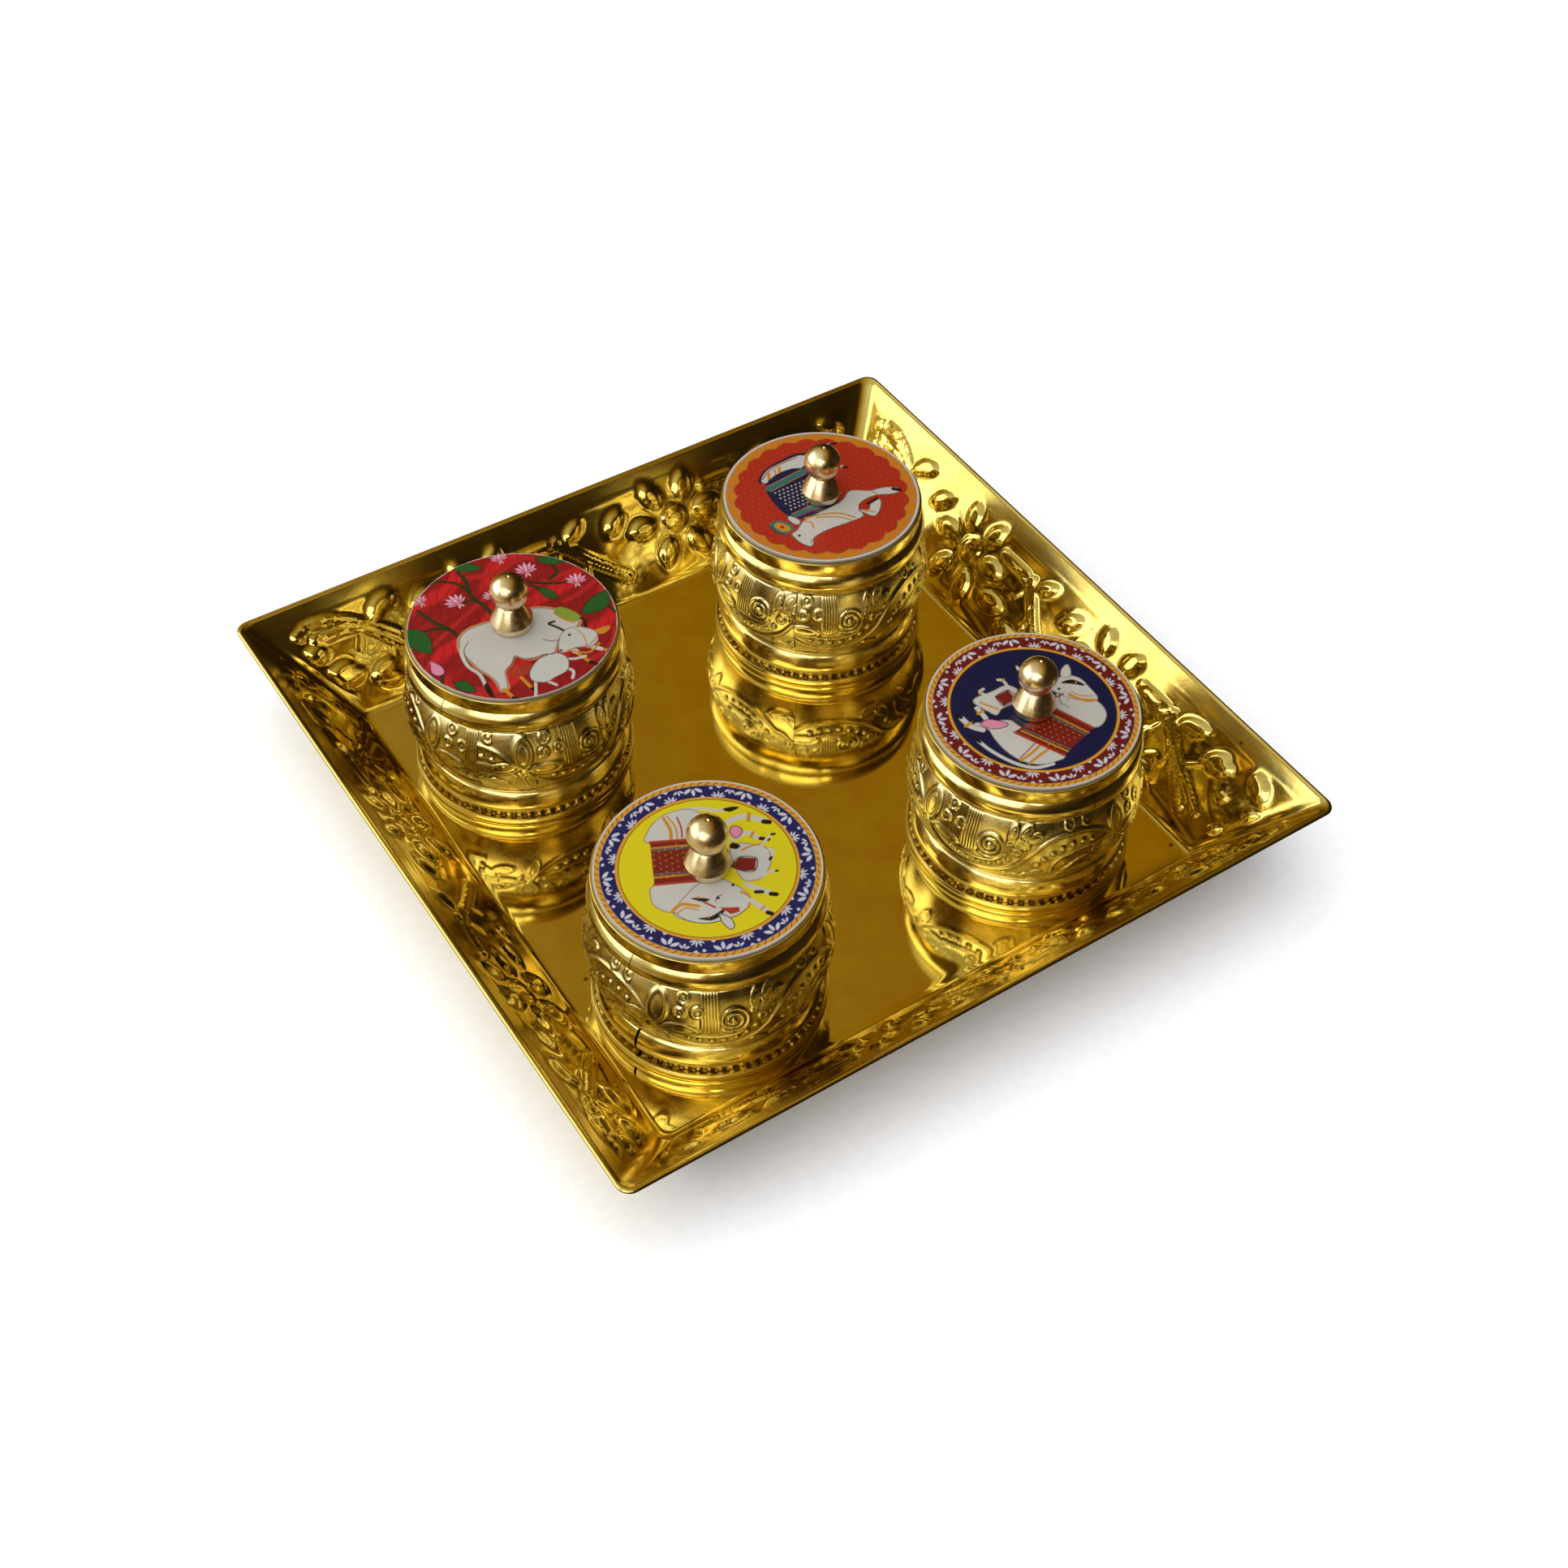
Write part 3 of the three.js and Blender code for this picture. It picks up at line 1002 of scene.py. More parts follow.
@dataclass
class Body:
    """One moving body at a place on the tray, which its nodes and pieces are named for."""

    place: Place
    kind: ClassVar[str]
    middle: ClassVar[str]  # the part whose axis the others stand on

    def add(
        self,
        part: str,
        slot: str,
        material: bpy.types.Material,
        shape: Callable[[Extent], bmesh.types.BMesh],
        sharp: float = 35.0,
    ) -> None:
        """Build and dress the piece that stands for one of this body's nodes.

        Args:
            part: The node's name without the body's.
            slot: Name of the finish's slot; it is not used.
            material: The finish.
            shape: Makes the mesh in the node's room.
            sharp: Angle past which an edge stays crisp.
        """
        body = f"{self.place.value}_{self.kind}"
        node = f"{body}_{part}"
        axis = Extent.of(f"{body}_{self.middle}")
        Piece(f"{node}_skin", body, node, slot, material, sharp).make(shape(Extent.of(node)), (axis.x, axis.y))


@dataclass
class Box(Body):
    """One box of the set: base plate, foot band, embossed wall band and inner cup."""

    kind, middle = "box", "base_plate"
    flower_at: float
    wall_seam: float
    foot_seam: float
    base_sheet: float = 1.1
    base_edge: float = 0.8
    ribs: int = 62
    rib_reach: float = 2.6  # from the raised edge inwards
    rib_height: float = 0.5
    liner_sheet: float = 0.7
    foot_bulge: float = 1.8
    wall_bulge: float = 3.5

    def build(self, finishes: Finishes) -> None:
        """Build and dress the box."""
        foot = Band(self.foot_bulge, seam=self.foot_seam, gap=1.5)
        vine = VineRelief(self.flower_at)
        wall = Band(self.wall_bulge, seam=self.wall_seam, columns=780, face_rows=70, pattern=vine)
        self.add("base_plate", "band_brass", finishes.band, self.base_plate)
        self.add("foot_band", "band_brass", finishes.band, foot.build)
        self.add("wall_band", "embossed_brass", finishes.embossed, wall.build, 60)
        self.add("liner", "liner_brass", finishes.liner, self.liner)

    def base_plate(self, extent: Extent) -> bmesh.types.BMesh:
        """Spin the base plate, press the radial ribs into its ledge, and store painted shade and patina for the gaps
        between them.
        """
        ledge = extent.radius - self.base_edge
        outline = [(0, extent.bottom), (extent.radius - 0.5, extent.bottom), (extent.radius, extent.bottom + 0.4)]
        outline += [(extent.radius, extent.top), (ledge, extent.top), (ledge, extent.bottom + self.base_sheet)]
        outline += [(ledge - step, extent.bottom + self.base_sheet) for step in (0.6, 1.2, 2.4)]
        outline += [(0, extent.bottom + self.base_sheet)]
        mesh = spun(softened(outline, 0.22), 6 * self.ribs)
        grooves = np.zeros(len(mesh.verts))
        for i, vert in enumerate(mesh.verts):
            radius = math.hypot(vert.co.x, vert.co.y)
            if ledge - self.rib_reach < radius < ledge - 0.02 and vert.co.z > extent.bottom + 0.8:
                angle = math.atan2(vert.co.y, vert.co.x)
                rib = float(smooth(np.array(0.75 + 1.3 * math.cos(self.ribs * angle))))
                wear_and_shade = 0.75 + 0.25 * math.sin(5.3 * angle + self.flower_at)
                vert.co.z += self.rib_height * rib * wear_and_shade * (radius < ledge - 0.1)
                # Painted shade and patina in the gaps between the ribs.
                grooves[i] = 0.55 * (1 - rib)
        store(mesh, "patina_and_shade", grooves)
        return mesh

    def liner(self, extent: Extent) -> bmesh.types.BMesh:
        """Spin the plain cup inside the bands."""
        inner = extent.radius - self.liner_sheet
        outline = [(0, extent.bottom), (extent.radius, extent.bottom), (extent.radius, extent.top)]
        floor = extent.bottom + self.liner_sheet
        outline += [(inner, extent.top), (inner, floor), (0, floor)]
        return spun(softened(outline, 0.3), 120)


# ---------------------------------------------------------------- printed pictures


class Print:
    """Inks laid on the face of a lid's disc, place by place."""

    density = 0.6  # how much darker the varnished inks are than their names
    fill_edge, line_edge, ring_edge = 0.2, 0.16, 0.12  # millimetres over which an ink fades at its edge

    def __init__(self, x: np.ndarray, y: np.ndarray) -> None:
        """Start with bare white board.

        Args:
            x: Places across the disc from its middle.
            y: Places up the disc from its middle.
        """
        self.x, self.y = x, y
        self.ink = np.tile(self.density * np.array(linear("#cfcac0")[:3]), (len(x), 1))

    def lay(self, cover: np.ndarray, colour: str, near: np.ndarray | None = None) -> None:
        """Lay an ink over what is there, as far as it covers."""
        near = np.ones(self.x.shape, bool) if near is None else near
        ink = self.density * np.array(linear(colour)[:3])
        self.ink[near] += (ink - self.ink[near]) * np.clip(cover, 0, 1)[:, None]

    def fill(self, outline: Sequence[Point], colour: str) -> None:
        """Fill a closed outline with ink, a little soft at its edge."""
        near = round_shape(self.x, self.y, outline, 0.3)
        x, y = self.x[near], self.y[near]
        inside = np.zeros(x.shape, bool)
        for (x0, y0), (x1, y1) in zip(outline, outline[1:]):
            if y0 != y1:
                crosses = ((y0 > y) != (y1 > y)) & (x < (x1 - x0) * (y - y0) / (y1 - y0) + x0)
                inside ^= crosses
        edge = distance_to_path(x, y, outline)
        self.lay(0.5 + np.where(inside, edge, -edge) / self.fill_edge, colour, near)

    def line(self, path: Sequence[Point], width: float, colour: str) -> None:
        """Draw a line of ink."""
        near = round_shape(self.x, self.y, path, width)
        reach = distance_to_path(self.x[near], self.y[near], path)
        self.lay((0.5 * width - reach) / self.line_edge + 0.5, colour, near)

    def dot(self, centre: Point, radius: float, colour: str) -> None:
        """Print a round dot."""
        near = round_shape(self.x, self.y, [centre], radius + 0.2)
        reach = np.hypot(self.x[near] - centre[0], self.y[near] - centre[1])
        self.lay((radius - reach) / self.line_edge + 0.5, colour, near)

    def annulus(self, inner: float, outer: float, colour: str) -> None:
        """Print a ring between two radii."""
        radius = np.hypot(self.x, self.y)
        self.lay(np.minimum(radius - inner, outer - radius) / self.ring_edge + 0.5, colour)


@dataclass
class Lid(Body):
    """One lid: rolled band, pressed plate, printed disc and turned knob, held by a screw and washer."""

    kind, middle = "lid", "plate"
    band_seam: float
    band_bulge: float = 2.0
    plate_sheet: float = 0.8
    screw_hole: float = 1.7
    foot_height: float = 2.2
    foot_radius: float = 5.0
    neck_height: float = 7.2
    neck_radius: float = 2.7
    ball_radius: float = 4.85
    thread_radius: float = 1.35
    thread_depth: float = 6.5
    screw_radius: float = 1.2
    slot_deep: float = 0.7
    slot_wide: float = 0.8
    head_height: float = 1.6
    head_radius: float = 2.8
    washer_hole: float = 1.6
    print_cells: int = 280

    def build(self, finishes: Finishes) -> None:
        """Build and dress the lid."""
        band = Band(self.band_bulge, seam=self.band_seam, gap=0.5)
        self.add("band", "band_brass", finishes.band, band.build)
        self.add("plate", "band_brass", finishes.band, self.plate)
        self.add("picture", f"{self.place.value}_picture", finishes.prints[self.place], self.picture, 50)
        self.add("knob", "knob_brass", finishes.knob, self.knob, 28)
        self.add("screw", "screw_steel", finishes.steel, self.screw)
        self.add("washer", "liner_brass", finishes.liner, self.washer)

    def plate(self, extent: Extent) -> bmesh.types.BMesh:
        """Spin the pressed plate with its straight rim."""
        inner, under = extent.radius - self.plate_sheet, extent.top - self.plate_sheet
        outline = [(self.screw_hole, under), (inner, under), (inner, extent.bottom), (extent.radius, extent.bottom)]
        outline += [(extent.radius, extent.top), (self.screw_hole, extent.top)]
        return spun(softened(outline, 0.25, closed=True), 180, closed=True)

    def knob(self, extent: Extent) -> bmesh.types.BMesh:
        """Spin the knob: foot, cone drawn in to a neck, and a ball with a lathe centre mark on top."""
        bottom, foot_top = extent.bottom, extent.bottom + self.foot_height
        neck = bottom + self.neck_height
        cut = math.asin(self.neck_radius / self.ball_radius)
        centre = neck + self.ball_radius * math.cos(cut)
        foot, flare = self.foot_radius, extent.radius
        outline = [(0, bottom + self.thread_depth), (self.thread_radius, bottom + self.thread_depth - 0.6)]
        outline += [(self.thread_radius, bottom), (foot - 0.25, bottom), (foot, bottom + 0.25)]
        outline += [(foot, foot_top - 0.2), (flare - 0.1, foot_top - 0.1)]
        outline += [(flare, foot_top + 0.1), (flare - 0.12, foot_top + 0.35)]
        outline += [(self.neck_radius + 0.55, neck - 0.75), (self.neck_radius + 0.12, neck - 0.25)]
        for step in range(1, 29):
            turn = cut + (math.pi - cut) * step / 30
            outline.append((self.ball_radius * math.sin(turn), centre - self.ball_radius * math.cos(turn)))
        top = centre + self.ball_radius
        outline += [(0.62, top - 0.04), (0.5, top - 0.02), (0.38, top - 0.1), (0.22, top - 0.32), (0, top - 0.36)]
        return spun(outline, 96)

    def screw(self, extent: Extent) -> bmesh.types.BMesh:
        """Spin the slotted screw, then press its slot in as a groove."""
        head, shank, shoulder = self.head_radius, self.screw_radius, extent.bottom + self.head_height
        outline = [(0.35 * step, extent.bottom) for step in range(7)]
        outline += [(head - 0.4, extent.bottom + 0.1), (head, extent.bottom + 0.6), (head, shoulder)]
        outline += [(shank, shoulder), (shank, extent.top - 0.3), (shank - 0.3, extent.top), (0, extent.top)]
        mesh = spun(outline, 64)
        for vert in mesh.verts:
            if vert.co.z < extent.bottom + 0.2:
                depth = smooth(np.array(1.6 - abs(vert.co.y) / (0.5 * self.slot_wide)))
                vert.co.z += float(self.slot_deep * depth)
        return mesh

    def washer(self, extent: Extent) -> bmesh.types.BMesh:
        """Spin the flat washer."""
        outline = [(self.washer_hole, extent.bottom), (extent.radius, extent.bottom)]
        outline += [(extent.radius, extent.top), (self.washer_hole, extent.top)]
        return spun(softened(outline, 0.1, 2, closed=True), 64, closed=True)

    def picture(self, extent: Extent) -> bmesh.types.BMesh:
        """Cut the disc and print its face."""
        cells = self.print_cells

        def bend(column: np.ndarray, row: np.ndarray) -> Grid:
            """Bend a square grid into a disc with a hole at its middle."""
            x, y = 2 * column / cells - 1, 2 * row / cells - 1
            wide = np.abs(x) >= np.abs(y)
            reach = np.where(wide, np.abs(x), np.abs(y))
            safe = np.where(reach == 0, 1, reach)
            turn = np.where(wide, y / safe, x / safe) * math.pi / 4
            main, cross = np.cos(turn), np.sin(turn)
            unit_x = np.where(wide, np.sign(x) * main, cross)
            unit_y = np.where(wide, cross, np.sign(y) * main)
            radius = self.screw_hole + (extent.radius - self.screw_hole) * reach
            radius = np.where(reach == 0, 0, radius)
            return radius * unit_x, radius * unit_y, np.full(x.shape, extent.top), 0.0

        mesh = bent_grid(cells, cells, bend)
        middle = [vert for vert in mesh.verts if math.hypot(vert.co.x, vert.co.y) < 0.5]
        bmesh.ops.delete(mesh, geom=middle, context="VERTS")
        rims = [edge for edge in mesh.edges if edge.is_boundary]
        made = bmesh.ops.extrude_edge_only(mesh, edges=rims)["geom"]
        low = [item for item in made if isinstance(item, bmesh.types.BMVert)]
        bmesh.ops.translate(mesh, vec=(0, 0, -extent.height), verts=low)
        bmesh.ops.triangle_fill(mesh, edges=[edge for edge in mesh.edges if edge.is_boundary], use_beauty=True)
        bmesh.ops.recalc_face_normals(mesh, faces=mesh.faces)
        places = np.array([vert.co for vert in mesh.verts])
        sheet = Print(places[:, 0], places[:, 1])
        print_face(self.place, sheet)
        layer = mesh.verts.layers.float_color.new("ink")
        for vert, ink, low_side in zip(mesh.verts, sheet.ink, places[:, 2] < extent.top - 0.1):
            vert[layer] = linear("#6f6656") if low_side else (*ink, 1.0)
        return mesh


def bordered(sheet: Print, border: str, ground: str) -> None:
    """Print the roped rings and the patterned border round a plain ground.

    Args:
        sheet: The disc's face.
        border: Ink behind the border's white motifs.
        ground: Ink of the middle.
    """
    gold, dark, white = "#d8982a", "#5a3412", "#cdcbd2"
    middle, low, high, rim = 20.3, 21.1, 24.7, 25.85  # radii of the ground, the border's two edges and the rope
    sheet.annulus(high, rim, gold)
    angle = np.arctan2(sheet.y, sheet.x)
    radius = np.hypot(sheet.x, sheet.y)
    rope = (angle * 84 / math.tau + (radius - 24.6) * 0.6) % 1
    sheet.lay(((rope < 0.2) & (radius > high + 0.1) & (radius < rim - 0.1)) * 0.9, dark)
    sheet.annulus(low, high, border)
    sheet.annulus(middle, low, gold)
    sheet.annulus(0, middle, ground)
    sheet.annulus(middle - 0.1, middle + 0.1, dark)
    sector = math.tau / 12
    turn = (angle % sector) / sector
    along = (turn - 0.5) * sector * 22.85
    motifs = np.zeros(sheet.x.shape)
    for centre, out, half, tilt in (
        (-3.2, 22.7, (1.15, 0.46), 90),
        (-4.5, 23.3, (1.15, 0.5), 38),
        (-1.9, 23.3, (1.15, 0.5), -38),
        (0.2, 23.05, (0.65, 0.28), 90),
        (-0.5, 23.45, (0.7, 0.3), 40),
        (0.9, 23.45, (0.7, 0.3), -40),
        (2.8, 22.2, (0.95, 0.25), 90),
        (2.1, 22.0, (0.95, 0.25), 125),
        (3.5, 22.0, (0.95, 0.25), 55),
        (1.7, 21.55, (0.8, 0.25), 155),
        (3.9, 21.55, (0.8, 0.25), 25),
    ):
        cos, sin = math.cos(math.radians(tilt)), math.sin(math.radians(tilt))
        x, y = along - centre, radius - out
        reach = ((x * cos + y * sin) / half[0]) ** 2 + np.abs((y * cos - x * sin) / half[1]) ** 1.5
        motifs = np.maximum(motifs, (1 - reach) * 4)
    for extra in (
        (0.45 - np.hypot(along - 4.6, radius - 23.9)) / sheet.ring_edge,
        (0.6 - np.abs(along - 2.9) - (24.5 - radius)) / sheet.ring_edge + 0.3,
        (0.6 - np.abs(along + 5.3) - (radius - 21.2)) / sheet.ring_edge + 0.3,
    ):
        motifs = np.maximum(motifs, extra)
    sheet.lay(motifs * ((radius > low + 0.05) & (radius < high - 0.15)), white)


INKS = {
    "white": "#c9c4b8",
    "dark": "#1c1210",
    "warm": "#c98a5c",
    "gold": "#c98a1e",
    "rust": "#a8321c",
    "cloth": "#7c1a14",
    "pink": "#e08aa4",
    "blush": "#f6c8d2",
    "stem": "#23381c",
    "leaf": "#1f5a24",
    "vein": "#4f8a3a",
    "lime": "#8a9c34",
    "teal": "#2b6f70",
    "navy": "#1a1c40",
    "streak": "#b01c1c",
    "outline": "#2a120c",
    "contour": "#76685f",
}


class Kind(Enum):
    """How a stroke of ink is laid."""

    FILL = "fill"
    LINE = "line"
    DOTS = "dots"
    GRID = "grid"
    LOTUS = "lotus"


@dataclass(frozen=True)
class Stroke:
    """One shape of a picture: filled outline, drawn line, dots, a lattice of dots, or a lotus flower."""

    kind: Kind
    ink: str
    points: list[Point]
    size: float = 0.0  # width of a line, radius of a dot, length of a petal
    extra: float = 0.0  # spacing of a lattice, or degrees that a lotus faces

    @classmethod
    def read(cls, table: str) -> "list[Stroke]":
        """Read the strokes of a picture in the order they are laid.

        Args:
            table: For each stroke its kind, its ink, its size and extra with a decimal point where it has them,
                and its points as pairs of whole numbers in tenths of a millimetre.

        Returns:
            The strokes.
        """
        rows: list[list[str]] = []
        for word in table.split():
            if word in {kind.value for kind in Kind}:
                rows.append([])
            rows[-1].append(word)
        strokes = []
        for kind, ink, *numbers in rows:
            sizes = [float(word) for word in numbers if "." in word]
            tenths = [int(word) for word in numbers if "." not in word]
            points = [(x / 10, y / 10) for x, y in zip(tenths[::2], tenths[1::2])]
            strokes.append(cls(Kind(kind), ink, points, *sizes))
        return strokes

    def print_on(self, sheet: Print) -> None:
        """Lay the stroke on a disc."""
        if self.kind is Kind.FILL:
            straight = self.ink in ("cloth", "rust")
            outline = [*self.points, self.points[0]] if straight else curve_through(self.points, 5, closed=True)
            sheet.fill(outline, INKS[self.ink])
            if self.ink == "white":
                sheet.line(outline, 0.2, INKS["contour"])
            if self.ink in ("leaf", "pink"):
                sheet.line(curve_through([*self.points, self.points[0]], 4), 0.22, INKS["outline"])
        elif self.kind is Kind.LINE:
            path = curve_through(self.points, 5)
            if self.ink == "stem":
                sheet.line(path, self.size + 0.3, INKS["outline"])
            sheet.line(path, self.size, INKS[self.ink])
        elif self.kind is Kind.DOTS:
            for point in self.points:
                sheet.dot(point, self.size, INKS[self.ink])
        elif self.kind is Kind.GRID:
            (x0, y0), (x1, y1) = self.points
            for row in range(int(abs(y1 - y0) / self.extra) + 1):
                for column in range(int(abs(x1 - x0) / self.extra) + 1):
                    x = min(x0, x1) + (column + 0.5 * (row % 2)) * self.extra
                    sheet.dot((x, max(y0, y1) - row * self.extra), self.size, INKS[self.ink])
        else:
            self.print_lotus(sheet)

    def print_lotus(self, sheet: Print) -> None:
        """Lay an open lotus: a fan of pointed petals round a gold heart."""
        (x, y), length = self.points[0], 1.2 * self.size
        for turn, share in (
            *((-75, 0.8), (75, 0.8), (-50, 1), (50, 1), (-25, 1.05), (25, 1.05)),
            *((0, 1.1), (160, 0.6), (200, 0.6)),
        ):
            angle, reach = math.radians(self.extra + turn), length * share
            cos, sin = math.cos(angle), math.sin(angle)
            petal = [
                (x + reach * (along * cos - across * sin), y + reach * (along * sin + across * cos))
                for along, across in ((0, 0), (0.45, 0.2), (1, 0), (0.45, -0.2))
            ]
            outline = curve_through(petal, 4, closed=True)
            sheet.fill(outline, INKS["pink"])
            sheet.line([petal[0], petal[2]], 0.22 * share, INKS["blush"])
            sheet.line(outline, 0.14, "#7c1428")
        sheet.dot((x, y), 0.45, "#d08a3c")


# The pictures, as tables for Stroke.read.

LEFT_ART = """
line streak 1.3 -247 17 -119 75 -16 120
line streak 1.6 16 75 125 94 253 94
line streak 1.8 -16 210 48 190 131 203 163 184
line streak 1.4 -228 -111 -176 -162 -119 -239
line streak 1.5 151 4 202 11 260 30
line streak 1.5 99 -213 163 -201 215 -149
line stem 0.75 -29 242 -26 203 -40 146 -28 94 -28 40
line stem 0.6 -87 238 -51 206 -38 165
line stem 0.75 -179 168 -165 113 -141 65 -134 14
line stem 0.6 -202 94 -163 83 -143 62
line stem 0.6 74 149 112 110 163 75 192 62
line stem 0.6 189 139 187 107 157 96
line stem 0.5 -71 134 -45 129 -34 110
line stem 0.5 -231 -69 -246 -101 -240 -124
line stem 0.5 237 -72 248 -124
line stem 0.5 106 101 125 75
fill leaf -254 113 -224 119 -201 94 -199 56 -218 14 -237 30 -254 62
fill leaf -38 274 -10 272 19 248 32 224 -3 228 -26 247
fill leaf 163 184 196 176 221 155 228 133 192 140 171 160
fill leaf 260 -15 221 -20 186 -37 167 -60 202 -74 237 -69 258 -40
fill leaf -218 -106 -190 -119 -186 -162 -210 -147 -221 -124
fill leaf 115 78 135 72 146 40 141 22 120 40
fill leaf -113 253 -93 251 -93 238 -108 238
lotus pink 2.3 95.0 -160 190
lotus pink 2.9 100.0 -81 138
lotus pink 2.3 80.0 85 226
lotus pink 2.9 75.0 122 149
lotus pink 2.0 110.0 4 115
lotus pink 2.7 70.0 212 48
fill pink -233 -8 -218 -40 -222 -63 -239 -66 -249 -50 -243 -28
fill warm -154 4 -137 31 -99 47 -48 42 -3 32 48 35 99 14 139 -33 157 -72 131 -103 75 -116 51 -140 35 -156 16
  -143 -10 -142 -34 -130 -47 -110 -67 -127 -92 -142 -101 -165 -112 -196 -137 -196 -134 -162 -138 -130 -151 -98
  -154 -60 -160 -21
fill white -148 1 -131 27 -99 40 -48 37 -3 28 48 30 93 10 131 -34 148 -72 125 -97 74 -110 54 -130 35 -147 16
  -137 -10 -134 -35 -122 -48 -103 -67 -121 -93 -137 -104 -162 -116 -191 -133 -191 -129 -162 -133 -130 -144 -98
  -149 -60 -153 -21
line white 0.95 -128 4 -154 -20 -163 -72 -152 -114 -157 -156
line dark 0.2 -122 1 -147 -21 -157 -72 -146 -114 -152 -156
fill dark -160 -153 -149 -156 -158 -201 -167 -185
line gold 1.0 -125 -191 -120 -226
line gold 0.9 -71 -178 -66 -223
line dark 1.0 -120 -228 -113 -236
line dark 0.9 -66 -224 -63 -230
line gold 0.9 83 -162 99 -220
line dark 1.0 99 -221 109 -236
line gold 0.9 138 -185 157 -210
line dark 1.0 157 -212 165 -221
line white 1.6 74 -130 87 -169
line white 1.3 112 -156 144 -194
fill lime 107 -20 130 -8 153 -42 157 -70 133 -76 117 -53
line gold 0.4 107 -20 117 -53 133 -76
fill white 71 -112 99 -90 131 -93 157 -119 163 -142 148 -170 122 -172 93 -157 64 -158 53 -147
line dark 0.75 97 -87 88 -67 78 -48 93 -47
line dark 0.75 151 -106 160 -85 156 -72
fill gold 163 -130 197 -131 201 -142 174 -151
line dark 0.22 38 -88 54 -106 74 -112
dots dark 0.42 102 -110
dots dark 0.35 58 -147
line gold 0.3 125 -98 131 -130 119 -169
line rust 0.22 93 -162 125 -176 157 -162
line rust 0.22 80 -156 125 -166 162 -149
line gold 0.55 74 -156 112 -189 151 -175
fill rust -96 -156 -67 -142 -34 -137 -22 -156 -48 -176 -85 -170
fill white -34 -162 -3 -144 42 -147 58 -172 53 -196 35 -217 3 -221 -28 -224 -53 -201 -47 -176
line white 0.75 -47 -207 -64 -240 -74 -255
line white 0.75 -22 -223 -10 -246
line white 0.8 38 -207 48 -226 35 -246
line white 0.8 51 -178 74 -191 99 -196
line dark 0.18 -34 -162 -3 -144 42 -147 58 -172 53 -196 35 -217 3 -221 -28 -224 -53 -201 -47 -176 -34 -162
line dark 0.18 -48 -103 -67 -124 -93 -139
line dark 0.18 -42 -124 -10 -137 16 -139 38 -149
"""

BACK_ART = """
fill navy -113 126 -105 147 -68 169 -15 178 42 178 63 151 19 115 -67 106
fill white -106 122 -99 142 -65 163 -15 169 36 169 55 151 17 121 -67 112
line rust 0.35 -101 136 -63 158 -14 165 29 165
line gold 0.9 -88 119 -73 149
line gold 0.8 -53 122 -35 155
line gold 0.5 -65 122 -50 153
line white 1.1 55 156 94 172 138 162
line dark 0.9 138 162 153 158
line dark 0.3 49 162 94 179 138 171
line white 1.1 94 82 113 68
line dark 0.8 114 65 122 58
fill navy -109 109 13 122 33 -40 -113 -46
line teal 1.5 -109 94 14 106
line gold 0.25 -109 83 15 96
line gold 0.25 -109 104 13 116
line teal 1.3 -110 -32 31 -29
line gold 0.25 -110 -23 29 -21
line rust 0.3 -110 -41 32 -38
grid white 0.27 1.3 -101 72 24 -14
fill white -155 -92 -131 -83 -99 -63 -60 -58 29 -50 74 -27 119 -54 158 -63 187 -81 188 -99 158 -95 119 -78 74
  -81 55 -99 49 -129 17 -132 -60 -126 -110 -132 -124 -150 -138 -156 -153 -129
line dark 0.2 -155 -92 -153 -129 -138 -156 -124 -150 -110 -132 -60 -126 17 -132 49 -129 55 -99 74 -81 119 -78
  158 -95
line dark 1.2 178 -82 190 -95
line gold 0.5 124 -60 129 -78
fill white 50 -104 69 -144 94 -137 118 -112 121 -92 92 -99 74 -117
line dark 0.9 86 -96 119 -91
line dark 0.2 50 -104 69 -144 94 -137 118 -112
line gold 0.5 63 -117 82 -132
line gold 0.55 -90 -55 -35 -69 4 -91 24 -123
dots navy 0.16 -73 -59 -54 -63 -35 -69 -15 -79 3 -92 14 -108
line gold 0.5 -62 -69 -15 -95 12 -129
line gold 0.5 -96 -65 -85 -79 -91 -99
fill teal -186 -33 -164 -23 -137 -47 -140 -83 -168 -85 -182 -65
fill gold -176 -40 -160 -32 -144 -53 -147 -75 -168 -69
dots rust 0.6 -160 -53
line dark 0.25 -186 -33 -182 -65 -168 -85
line rust 0.8 -169 -86 -137 -82
fill white -129 -32 -119 -26 -105 -53 -113 -67 -126 -60
line dark 0.18 -129 -32 -119 -26 -105 -53 -113 -67
dots dark 0.42 -140 -105
line dark 0.18 -131 -149 -122 -135
"""

